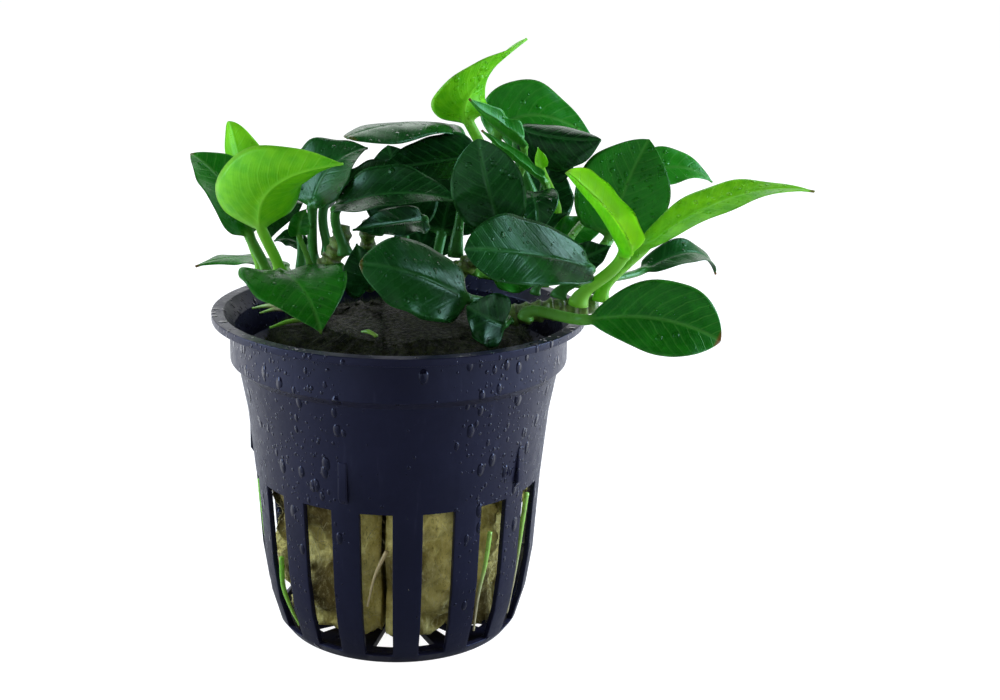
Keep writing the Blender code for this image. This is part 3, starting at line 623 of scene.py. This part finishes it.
def build_wool(name, side):
    """Build one lumpy half cylinder of rock wool and give its points."""
    seam = WOOL_SEAM_X + side * WOOL_SEAM_GAP / 2
    low = WOOL_LEVELS[0][0]
    top = WOOL_LEVELS[-1][0]
    rings = [wool_ring(low + (top - low) * row / WOOL_ROWS, seam, side) for row in range(WOOL_ROWS + 1)]
    points, faces = loft([[matted(point, seam, side) for point in ring] for ring in rings])
    make_piece("look_" + name, points, faces, WOOL_MATERIAL, "rock_wool", [name])
    return points


def fibre(batch, start, course, length, radius, chance):
    """Add one thin three-sided fibre that wanders from a start point."""
    points, faces = batch
    centre = Vector(start)
    heading = Vector(course).normalized()
    first = len(points)
    for step in range(FIBRE_STEPS + 1):
        side = heading.cross(Vector((0.31, 0.22, 0.93))).normalized()
        up = heading.cross(side)
        taper = radius * (1.0 - 0.75 * step / FIBRE_STEPS)
        for corner in range(3):
            angle = math.tau * corner / 3
            points.append(centre + (side * math.cos(angle) + up * math.sin(angle)) * taper)
        centre = centre + heading * (length / FIBRE_STEPS)
        wander = Vector((chance.uniform(-1, 1), chance.uniform(-1, 1), chance.uniform(-1, 1)))
        heading = (heading + wander * FIBRE_WANDER).normalized()
    for low in range(first, first + FIBRE_STEPS * 3, 3):
        for corner in range(3):
            after = (corner + 1) % 3
            faces.append((low + corner, low + after, low + 3 + after, low + 3 + corner))
    faces.append((first + 2, first + 1, first))
    last = first + FIBRE_STEPS * 3
    faces.append((last, last + 1, last + 2))


def build_fibres(wool_points):
    """Scatter loose fibres and root hairs over the wool's outside and moss threads over its top."""
    chance = random.Random(11)
    sides = ([], [])
    tops = ([], [])
    outside = [p for p in wool_points if 4.5 < p.z < 27.0 and math.hypot(p.x, p.y) > 15.0]
    upside = [p for p in wool_points if p.z > WOOL_TOP - 0.2]
    for _ in range(FIBRE_COUNT):
        spot = chance.choice(outside)
        out = Vector((spot.x, spot.y, 0.0)).normalized()
        around = Vector((-out.y, out.x, 0.0))
        course = (around * chance.uniform(-1, 1) + Vector((0, 0, chance.uniform(-1, 1)))
                  + out * chance.uniform(0.05, 0.35))
        fibre(sides, spot - out * 0.1, course, chance.uniform(0.8, 2.4),
              chance.uniform(0.018, 0.035), chance)
    for _ in range(MOSS_COUNT):
        spot = chance.choice(upside)
        course = Vector((chance.uniform(-1, 1), chance.uniform(-1, 1), chance.uniform(0.2, 1.6)))
        fibre(tops, spot - Vector((0, 0, 0.15)), course, chance.uniform(0.5, 1.7),
              chance.uniform(0.02, 0.05), chance)
    for _ in range(STRAND_COUNT):
        spot = chance.choice(outside)
        out = Vector((spot.x, spot.y, 0.0)).normalized()
        around = Vector((-out.y, out.x, 0.0))
        course = out * 0.10 + Vector((0.0, 0.0, -1.0)) + around * chance.uniform(-1, 1)
        fibre(sides, spot + out * 0.1, course, chance.uniform(3.5, 7.0), STRAND_RADIUS, chance)
    make_piece("look_wool_fibres", *sides, FIBRE_MATERIAL, "rock_wool", [])
    make_piece("look_wool_moss", *tops, MOSS_AND_SHADE_MATERIAL, "rock_wool", [])


# Stems and roots

def tube(centres, radii, sides, bumps):
    """Give the points and faces of a round, slightly bumpy tube."""
    along, ups = carried_frames(centres, (0.3, -0.9, 0.2), 0)
    rings = []
    for index, centre in enumerate(centres):
        side = along[index].cross(ups[index])
        ring = []
        for step in range(sides):
            angle = -math.tau * step / sides
            out = side * math.cos(angle) + ups[index] * math.sin(angle)
            swell = 1.0 + bumps * noise.fractal((centre + out * radii[index]) * 0.8, 1.0, 2.0, 3)
            ring.append(centre + out * radii[index] * swell)
        rings.append(ring)
    return loft(rings)


def build_rhizome(name, path, radius):
    """Build one creeping stem with its leaf scars."""
    centres = [bezier(path, step / STEM_STEPS) for step in range(STEM_STEPS + 1)]
    length = sum((b - a).length for a, b in zip(centres, centres[1:]))
    radii = []
    facts = []
    for step in range(STEM_STEPS + 1):
        share = step / STEM_STEPS
        ringed = (share * length / SCAR_SPACING) % 1.0
        scar = math.exp(-((ringed - 0.5) / 0.09) ** 2)
        end = min(1.0, 0.55 + 6.0 * min(share, 1.0 - share))
        radii.append(radius * end * (0.96 + 0.10 * math.sin(math.tau * ringed) - 0.09 * scar))
        facts += [(scar, share, 0.0)] * STEM_SIDES
    make_piece("look_" + name, *tube(centres, radii, STEM_SIDES, STEM_BUMPS), RHIZOME_MATERIAL,
               "rhizome", [name], {"stem_at": facts})


def inner_radius(height):
    """Give the radius of the pot's inside at a height."""
    for (low_radius, low), (high_radius, high) in zip(POT_INSIDE, POT_INSIDE[1:]):
        if low <= height <= high and high > low:
            return low_radius + (high_radius - low_radius) * (height - low) / (high - low)
    return POT_INSIDE[-1][0]


def spline(points, steps):
    """Give a smooth line through all the points."""
    ends = [points[0] * 2 - points[1]] + points + [points[-1] * 2 - points[-2]]
    line = []
    for index in range(1, len(ends) - 2):
        a, b, c, d = ends[index - 1:index + 3]
        for step in range(steps):
            t = step / steps
            line.append((b * 2 + (c - a) * t + (a * 2 - b * 5 + c * 4 - d) * t * t
                         + (b * 3 - a - c * 3 + d) * t * t * t) / 2)
    line.append(points[-1])
    return line


def build_root(name, line, radii):
    """Build one root along a line."""
    count = len(line)
    facts = [(step / count, 0.0, 0.0) for step in range(count) for _ in range(ROOT_SIDES)]
    make_piece("look_" + name, *tube(line, radii, ROOT_SIDES, ROOT_BUMPS), ROOT_MATERIALS[name],
               "root", [name], {"stem_at": facts})


def build_slot_root(name, route, radius):
    """Build one root that runs down one slot of the pot's wall."""
    line = spline([polar(inner_radius(height) + SLOT_ROOT_OUT, math.radians(heading - 90.0), height)
                   for heading, height in route], 14)
    count = len(line)
    build_root(name, line, [radius * (1.0 - 0.5 * smooth(step / count)) for step in range(count)])


def build_top_root(name, start, end, radius):
    """Build one root end that lies on the wool."""
    start = Vector(start)
    end = Vector(end)
    sag = Vector((0.0, 0.0, radius))
    line = spline([start, start.lerp(end, 0.5) + sag, end], 12)
    count = len(line)
    build_root(name, line, [radius * (0.5 + 0.5 * smooth(2.0 * step / count)) for step in range(count)])


# Materials

class Value:
    """One number of a node tree, which is written in sums as a plain number is."""

    def __init__(self, nodes, socket):
        self.nodes = nodes
        self.socket = socket

    def __add__(self, other):
        return self.nodes.math("ADD", self, other)

    def __sub__(self, other):
        return self.nodes.math("SUBTRACT", self, other)

    def __rsub__(self, other):
        return self.nodes.math("SUBTRACT", other, self)

    def __mul__(self, other):
        return self.nodes.math("MULTIPLY", self, other)

    def __truediv__(self, other):
        return self.nodes.math("DIVIDE", self, other)

    def __pow__(self, other):
        return self.nodes.math("POWER", self, other)

    def __abs__(self):
        return self.nodes.math("ABSOLUTE", self)


class Nodes:
    """Writes the nodes of one node tree."""

    def __init__(self, tree):
        self.tree = tree

    def new(self, kind):
        """Add a node of a kind."""
        return self.tree.nodes.new("ShaderNode" + kind)

    def put(self, socket, value):
        """Link a socket to another, or set its own value."""
        if isinstance(value, Value):
            value = value.socket
        if isinstance(value, bpy.types.NodeSocket):
            self.tree.links.new(value, socket)
        elif isinstance(value, tuple) and len(value) == 3 and socket.type == "RGBA":
            socket.default_value = (*value, 1.0)
        else:
            socket.default_value = value

    def math(self, operation, a, b=0.0, clamp=False):
        """Work out a number from one or two others."""
        node = self.new("Math")
        node.operation = operation
        node.use_clamp = clamp
        self.put(node.inputs[0], a)
        self.put(node.inputs[1], b)
        return Value(self, node.outputs[0])

    def clamped(self, value):
        """Keep a value between 0 and 1."""
        return self.math("ADD", value, 0.0, clamp=True)

    def ramp(self, value, low, high, start=0.0, end=1.0, kind="SMOOTHSTEP"):
        """Map a value from one range to another."""
        node = self.new("MapRange")
        node.interpolation_type = kind
        for key, setting in zip(("Value", "From Min", "From Max", "To Min", "To Max"),
                                (value, low, high, start, end)):
            self.put(node.inputs[key], setting)
        return Value(self, node.outputs[0])

    def split(self, value):
        """Split a vector into its three numbers."""
        node = self.new("SeparateXYZ")
        self.put(node.inputs[0], value)
        return [Value(self, socket) for socket in node.outputs]

    def shown(self, lighting, seen):
        """Give one value for the light on the plant and another for the backdrop as it is seen."""
        return self.ramp(self.new("LightPath").outputs["Is Camera Ray"], 0.0, 1.0, lighting, seen)


class Look(Nodes):
    """Writes the nodes of one material."""

    def __init__(self, name):
        self.made = bpy.data.materials.new(name)
        self.made.use_nodes = True
        super().__init__(self.made.node_tree)
        self.surface = self.tree.nodes["Principled BSDF"]
        scaled = self.new("VectorMath")
        scaled.operation = "SCALE"
        self.put(scaled.inputs[0], self.new("TexCoord").outputs["Object"])
        self.put(scaled.inputs["Scale"], 1.0 / METRES_PER_MM)
        self.mm = scaled.outputs["Vector"]

    def stretched(self, stretch):
        """Give the place in millimetres, multiplied by any number given for each axis."""
        if not stretch:
            return self.mm
        node = self.new("VectorMath")
        node.operation = "MULTIPLY"
        self.put(node.inputs[0], self.mm)
        self.put(node.inputs[1], stretch)
        return node.outputs["Vector"]

    def mix(self, factor, a, b):
        """Mix two colours."""
        node = self.new("Mix")
        node.data_type = "RGBA"
        self.put(node.inputs[0], factor)
        self.put(node.inputs[6], a)
        self.put(node.inputs[7], b)
        return node.outputs[2]

    def noise(self, scale, detail=3.0, roughness=0.55, stretch=None):
        """Give a noise value with features about 1/scale millimetres wide."""
        node = self.new("TexNoise")
        self.put(node.inputs["Vector"], self.stretched(stretch))
        self.put(node.inputs["Scale"], scale)
        self.put(node.inputs["Detail"], detail)
        self.put(node.inputs["Roughness"], roughness)
        return Value(self, node.outputs["Fac"])

    def fact(self, name):
        """Read a measure stored on the piece's points."""
        node = self.new("Attribute")
        node.attribute_name = name
        return self.split(node.outputs["Vector"])

    def beads(self, scale, amount, stretch=None):
        """Give the height in millimetres and the mask of small round beads."""
        node = self.new("TexVoronoi")
        self.put(node.inputs["Vector"], self.stretched(stretch))
        self.put(node.inputs["Scale"], scale)
        pick = self.split(node.outputs["Color"])
        radius = pick[0] ** 2.0 * 0.30 + 0.16
        chosen = self.math("LESS_THAN", pick[1], amount)
        dome = self.clamped(1.0 - (Value(self, node.outputs["Distance"]) / radius) ** 2.0)
        height = self.math("SQRT", dome) * chosen * radius * (0.55 / scale)
        return height, self.ramp(dome, 0.0, 0.25) * chosen

    def bump(self, height):
        """Turn a height in millimetres into the surface's relief."""
        node = self.new("Bump")
        self.put(node.inputs["Strength"], 1.0)
        self.put(node.inputs["Distance"], METRES_PER_MM)
        self.put(node.inputs["Height"], height)
        self.put(self.surface.inputs["Normal"], node.outputs[0])
        return node.outputs[0]

    def finish(self, colour, roughness, specular=0.5):
        """Set the surface's main values and give the material."""
        self.put(self.surface.inputs["Base Color"], colour)
        self.put(self.surface.inputs["Roughness"], roughness)
        self.surface.inputs["Specular IOR Level"].default_value = specular
        return self.made


def vein_lines(look, phase, spacing, width):
    """Draw evenly spaced soft lines across a measure in millimetres."""
    cell = look.math("FRACT", phase / spacing)
    return look.ramp(abs(cell - 0.5) * spacing, width, width * 0.2)


def leaf_material(name, deep, bright, under, vein, stalk, through, glow, roughness, specular):
    """Make a leaf's skin: arching veins, pale margin, waxy sheen and beads of wet."""
    look = Look(name)
    across, place, _ = look.fact("leaf_at")
    reach, run, _ = look.fact("leaf_mm")
    upper, blade, tone_and_shading = look.fact("leaf_kind")
    wet, brown, _ = look.fact("leaf_extra")
    far = abs(reach)
    phase = run + (look.noise(0.35, 2.0) - 0.5) * 0.9 - (far * far * 0.05 + far * 0.8)
    major = vein_lines(look, phase, 1.9, 0.22) * look.ramp(far, 8.0, 1.0, 0.45, 1.0)
    minor = vein_lines(look, phase, 0.48, 0.12)
    midrib = look.ramp(far, 0.42, 0.10)
    veins = look.math("MAXIMUM", minor * 0.22 + major * 0.6, midrib) * blade
    mottle = look.noise(0.55, 4.0, 0.6)
    # the tone mixes deep to bright: partly the leaf's own colour, partly painted light and shade
    colour = look.mix(tone_and_shading, deep, bright)
    colour = look.mix(look.ramp(mottle, 0.35, 0.72, 0.0, 0.45), colour, bright)
    colour = look.mix(look.ramp(look.noise(0.22, 2.0), 0.42, 0.62, 0.0, 0.35), colour, deep)
    below = look.mix(look.ramp(mottle, 0.3, 0.7, 0.0, 0.3), under, bright)
    colour = look.mix(upper, below, colour)
    colour = look.mix(veins * 0.42, colour, vein)
    colour = look.mix(look.ramp(abs(across), 0.93, 0.995, 0.0, 0.55) * blade, colour, vein)
    colour = look.mix(1.0 - blade, colour, stalk)
    colour = look.mix(look.ramp(place, 0.955, 0.985) * brown, colour, (0.16, 0.055, 0.012))
    large, large_mask = look.beads(0.85, wet * 0.9)
    small, small_mask = look.beads(2.0, wet * 0.45)
    height = veins * (upper * -0.075 + 0.05) + look.noise(0.22, 1.0) * 0.30
    height = height + look.noise(3.2, 3.0) * 0.012 + large + small
    normal = look.bump(height)
    patchy = look.ramp(look.noise(0.5, 3.0), 0.35, 0.7, -0.05, 0.10)
    wax = patchy + roughness + upper * -0.06
    wax = look.clamped(wax - look.math("MAXIMUM", large_mask, small_mask) * 0.22)
    look.surface.inputs["Specular Tint"].default_value = (0.45, 0.95, 0.62, 1.0)
    made = look.finish(colour, wax, specular)
    translucent = look.new("BsdfTranslucent")
    look.put(translucent.inputs["Color"], look.mix(0.55, colour, through))
    look.put(translucent.inputs["Normal"], normal)
    both = look.new("MixShader")
    for socket, value in zip(both.inputs, (glow, look.surface.outputs[0], translucent.outputs[0])):
        look.put(socket, value)
    look.put(look.tree.nodes["Material Output"].inputs["Surface"], both.outputs[0])
    return made


def pot_material():
    """Make dark, half-gloss moulded plastic with beads of wet on its flanks."""
    look = Look("look_pot_plastic")
    x, _, z = look.split(look.mm)
    amount = look.ramp(abs(x), 6.0, 12.0, 0.06, 1.0)
    amount = amount * look.ramp(look.noise(0.16, 2.0), 0.30, 0.48, 0.75, 1.0)
    amount = amount * look.ramp(z, 2.0, 26.0, 0.35, 1.0)
    large, large_mask = look.beads(0.60, amount * 0.9, (1.0, 1.0, 0.6))
    small, small_mask = look.beads(1.35, amount)
    mask = look.math("MAXIMUM", large_mask, small_mask)
    colour = look.mix(look.noise(0.12, 4.0), (0.004, 0.0036, 0.010), (0.010, 0.010, 0.026))
    streak = look.noise(0.9, 3.0, stretch=(1.0, 1.0, 0.12))
    colour = look.mix(look.ramp(streak, 0.6, 0.85, 0.0, 0.22), colour, (0.05, 0.05, 0.085))
    # painted shade: the beads darken the plastic's colour under them, for the dark look of the drops
    colour = look.mix(mask * 0.55, colour, (0.004, 0.004, 0.010))
    look.bump(large + small + look.noise(0.5, 2.0) * 0.05 + look.noise(6.0, 2.0) * 0.004)
    rough = look.ramp(look.noise(0.7, 4.0), 0.3, 0.75, 0.28, 0.42)
    look.surface.inputs["Specular Tint"].default_value = (0.52, 0.62, 1.0, 1.0)
    return look.finish(colour, look.clamped(rough - mask * 0.27), 0.22)


def wool_material():
    """Make matted, stained rock wool that is mossy and near black on top, partly painted shade."""
    look = Look("look_rock_wool")
    _, _, z = look.split(look.mm)
    stain = look.noise(0.30, 4.0, 0.6)
    blot = look.noise(0.11, 2.5, 0.5)
    colour = look.mix(look.ramp(stain, 0.35, 0.65), (0.88, 0.78, 0.26), (0.60, 0.51, 0.14))
    colour = look.mix(look.ramp(blot, 0.44, 0.66, 0.0, 0.92), colour, (0.11, 0.078, 0.020))
    strands = look.noise(2.2, 4.0, 0.7, (1.0, 1.0, 0.35))
    colour = look.mix(look.ramp(strands, 0.5, 0.75, 0.0, 0.5), colour, (0.90, 0.84, 0.42))
    colour = look.mix(look.ramp(strands, 0.46, 0.30, 0.0, 0.5), colour, (0.10, 0.075, 0.02))
    clumps = look.ramp(look.noise(1.3, 4.0, 0.7), 0.4, 0.65)
    # painted shade: the top is near black, partly for its mossy growth and partly for shade under the
    # leaves
    moss_and_shade = look.mix(clumps, (0.002, 0.0025, 0.0006), (0.022, 0.026, 0.004))
    colour = look.mix(look.ramp(z, WOOL_TOP - 3.0, WOOL_TOP), colour, moss_and_shade)
    look.bump(look.noise(3.0, 5.0, 0.75, (1.0, 1.0, 0.45)) * 0.32 + look.noise(0.9, 4.0) * 0.5)
    return look.finish(colour, look.ramp(look.noise(1.7, 3.0), 0.35, 0.7, 0.5, 0.95), 0.12)


def fibre_material(name, dark, light, roughness):
    """Make the finish of loose fibres."""
    look = Look(name)
    colour = look.mix(look.ramp(look.noise(1.1, 2.0), 0.35, 0.68), dark, light)
    return look.finish(colour, look.ramp(look.noise(2.0), 0.3, 0.7, roughness, roughness + 0.2), 0.2)


def rhizome_material():
    """Make a fleshy green stem with brown leaf scars."""
    look = Look("look_rhizome")
    scar, _, _ = look.fact("stem_at")
    flesh = look.ramp(look.noise(0.6, 4.0, 0.6), 0.35, 0.68)
    colour = look.mix(flesh, (0.055, 0.12, 0.015), (0.17, 0.30, 0.045))
    bark = look.ramp(look.noise(0.9, 4.0, 0.7), 0.52, 0.70, 0.0, 0.7)
    colour = look.mix(bark, colour, (0.055, 0.042, 0.012))
    colour = look.mix(scar * 0.75, colour, (0.050, 0.036, 0.012))
    look.bump(look.noise(1.6, 4.0) * 0.22 + scar * -0.08)
    return look.finish(colour, look.ramp(look.noise(1.0), 0.3, 0.7, 0.25, 0.5))


def root_material(name, start, end):
    """Make a root that changes colour from its upper to its lower end."""
    look = Look(name)
    share, _, _ = look.fact("stem_at")
    colour = look.mix(look.ramp(share, 0.25, 0.75), start, end)
    colour = look.mix(look.ramp(look.noise(1.0, 3.0), 0.5, 0.7, 0.0, 0.4), colour, (0.10, 0.12, 0.02))
    look.bump(look.noise(2.5, 3.0) * 0.05)
    return look.finish(colour, look.ramp(look.noise(1.5), 0.3, 0.7, 0.25, 0.45))


LEAF_MATERIALS = {
    LIME: leaf_material(
        "look_leaf_lime", deep=(0.045, 0.26, 0.004), bright=(0.50, 0.95, 0.030),
        under=(0.12, 0.46, 0.010), vein=(0.36, 0.74, 0.07), stalk=(0.24, 0.52, 0.055),
        through=(0.30, 0.85, 0.02), glow=0.45, roughness=0.38, specular=0.30),
    GREEN: leaf_material(
        "look_leaf_green", deep=(0.001, 0.062, 0.002), bright=(0.026, 0.28, 0.012),
        under=(0.03, 0.20, 0.012), vein=(0.10, 0.34, 0.05), stalk=(0.10, 0.30, 0.035),
        through=(0.03, 0.50, 0.01), glow=0.22, roughness=0.34, specular=0.30),
    DARK: leaf_material(
        "look_leaf_dark", deep=(0.001, 0.014, 0.002), bright=(0.008, 0.075, 0.010),
        under=(0.004, 0.035, 0.004), vein=(0.030, 0.14, 0.03), stalk=(0.035, 0.16, 0.025),
        through=(0.01, 0.20, 0.01), glow=0.05, roughness=0.32, specular=0.28),
}
POT_MATERIAL = pot_material()
WOOL_MATERIAL = wool_material()
FIBRE_MATERIAL = fibre_material("look_fibres", (0.30, 0.26, 0.09), (0.72, 0.66, 0.38), 0.5)
# the threads on the wool's top are near black: partly their own colour, partly painted shade
MOSS_AND_SHADE_MATERIAL = fibre_material("look_moss_and_shade", (0.004, 0.007, 0.001), (0.042, 0.060, 0.010), 0.6)
RHIZOME_MATERIAL = rhizome_material()
GREEN_ROOT = root_material("look_root_green", (0.18, 0.50, 0.03), (0.26, 0.52, 0.06))
PALE_ROOT = root_material("look_root_pale", (0.26, 0.50, 0.07), (0.45, 0.40, 0.22))
TAN_ROOT = root_material("look_root_tan", (0.36, 0.28, 0.12), (0.42, 0.34, 0.16))
ROOT_MATERIALS = {
    "root_slot_left": GREEN_ROOT, "root_slot_left_edge": GREEN_ROOT, "root_slot_front": TAN_ROOT,
    "root_slot_right": PALE_ROOT, "root_slot_right_edge": PALE_ROOT, "root_top_1": PALE_ROOT,
    "root_top_2": PALE_ROOT, "root_top_3": GREEN_ROOT, "root_top_4": GREEN_ROOT,
}

build_pot()
build_fibres(build_wool("rock_wool_left", -1) + build_wool("rock_wool_right", 1))
for stem_name, stem in RHIZOMES.items():
    build_rhizome(stem_name, *stem)
for leaf_number, (leaf_name, leaf_shape) in enumerate(LEAVES.items()):
    build_leaf(leaf_name, leaf_shape, FIRST_SEED + leaf_number)
for root_name, root in SLOT_ROOTS.items():
    build_slot_root(root_name, *root)
for root_name, root in TOP_ROOTS.items():
    build_top_root(root_name, *root)

# Studio, in metres

FLOOR_RADIUS = 6.0
FLOOR_CORNERS = 64
BACKDROP_WHITE = 0.97
floor_mesh = bpy.data.meshes.new("floor")
floor_mesh.from_pydata([polar(FLOOR_RADIUS, math.tau * i / FLOOR_CORNERS, 0.0)
                        for i in range(FLOOR_CORNERS)], [], [tuple(range(FLOOR_CORNERS))])
floor = bpy.data.objects.new("floor", floor_mesh)
bpy.context.scene.collection.objects.link(floor)
floor_look = Look("studio_floor")
floor_x, _, _ = floor_look.split(floor_look.mm)
side_glow = floor_look.ramp(abs(floor_x), 30.0, 140.0, 0.18, 1.5, "LINEAR")
floor_glow = floor_look.shown(side_glow, BACKDROP_WHITE)
floor_look.put(floor_look.surface.inputs["Emission Color"], (1.0, 1.0, 1.0))
floor_look.put(floor_look.surface.inputs["Emission Strength"], floor_glow)
floor_mesh.materials.append(floor_look.finish((0.30, 0.30, 0.30), 0.9, 0.0))

world = bpy.data.worlds.new("studio")
bpy.context.scene.world = world
world.use_nodes = True
sky = Nodes(world.node_tree)
background = world.node_tree.nodes["Background"]
_, sky_y, sky_z = sky.split(sky.new("TexCoord").outputs["Generated"])
sky_light = sky.ramp(sky_y, -0.30, 0.60, 0.03, 0.95) * sky.ramp(sky_z, 0.25, 0.75, 1.0, 0.10)
sky.put(background.inputs["Strength"], sky.shown(sky_light, 1.0))
sky.put(background.inputs["Color"], (0.97, 0.985, 1.0))


def soft_light(name, place, target, width, height, power, colour=(1.0, 1.0, 1.0)):
    """Add one soft box that faces a target."""
    lamp = bpy.data.lights.new(name, "AREA")
    lamp.shape = "RECTANGLE"
    lamp.size = width
    lamp.size_y = height
    lamp.energy = power
    lamp.color = colour
    holder = bpy.data.objects.new(name, lamp)
    holder.location = place
    holder.rotation_euler = (Vector(target) - Vector(place)).to_track_quat("-Z", "Y").to_euler()
    bpy.context.scene.collection.objects.link(holder)


POT_MIDDLE = (0.0, 0.0, 0.05)
soft_light("left_box", (-0.42, 0.00, 0.16), POT_MIDDLE, 0.25, 0.40, 2.8, (0.66, 0.79, 1.0))
soft_light("right_box", (0.44, 0.02, 0.18), POT_MIDDLE, 0.25, 0.40, 4.4, (0.64, 0.78, 1.0))
soft_light("back_box", (0.02, 0.38, 0.34), (0.01, 0.0, 0.06), 0.50, 0.30, 0.9)
soft_light("front_box", (-0.15, -0.60, 0.55), (0.01, 0.0, 0.05), 1.00, 0.60, 1.5, (1.0, 0.99, 0.96))

# Camera

PITCH = math.radians(15.74)
YAW = math.radians(3.76)
ROLL = math.radians(1.3)
ahead = Vector((math.sin(YAW) * math.cos(PITCH), math.cos(YAW) * math.cos(PITCH), -math.sin(PITCH)))
level_right = Vector((math.cos(YAW), -math.sin(YAW), 0.0))
level_up = level_right.cross(ahead)
right = level_right * math.cos(ROLL) + level_up * math.sin(ROLL)
above = level_up * math.cos(ROLL) - level_right * math.sin(ROLL)
camera_data = bpy.data.cameras.new("camera")
camera_data.sensor_width = 36.0
camera_data.lens = 57.13
camera_data.clip_start = 0.01
camera = bpy.data.objects.new("camera", camera_data)
turn = Matrix((right, above, -ahead)).transposed()
camera.matrix_world = Matrix.Translation((0.0, -0.228, 0.107)) @ turn.to_4x4()
bpy.context.scene.collection.objects.link(camera)
bpy.context.scene.camera = camera
bpy.context.scene.view_settings.view_transform = "Standard"
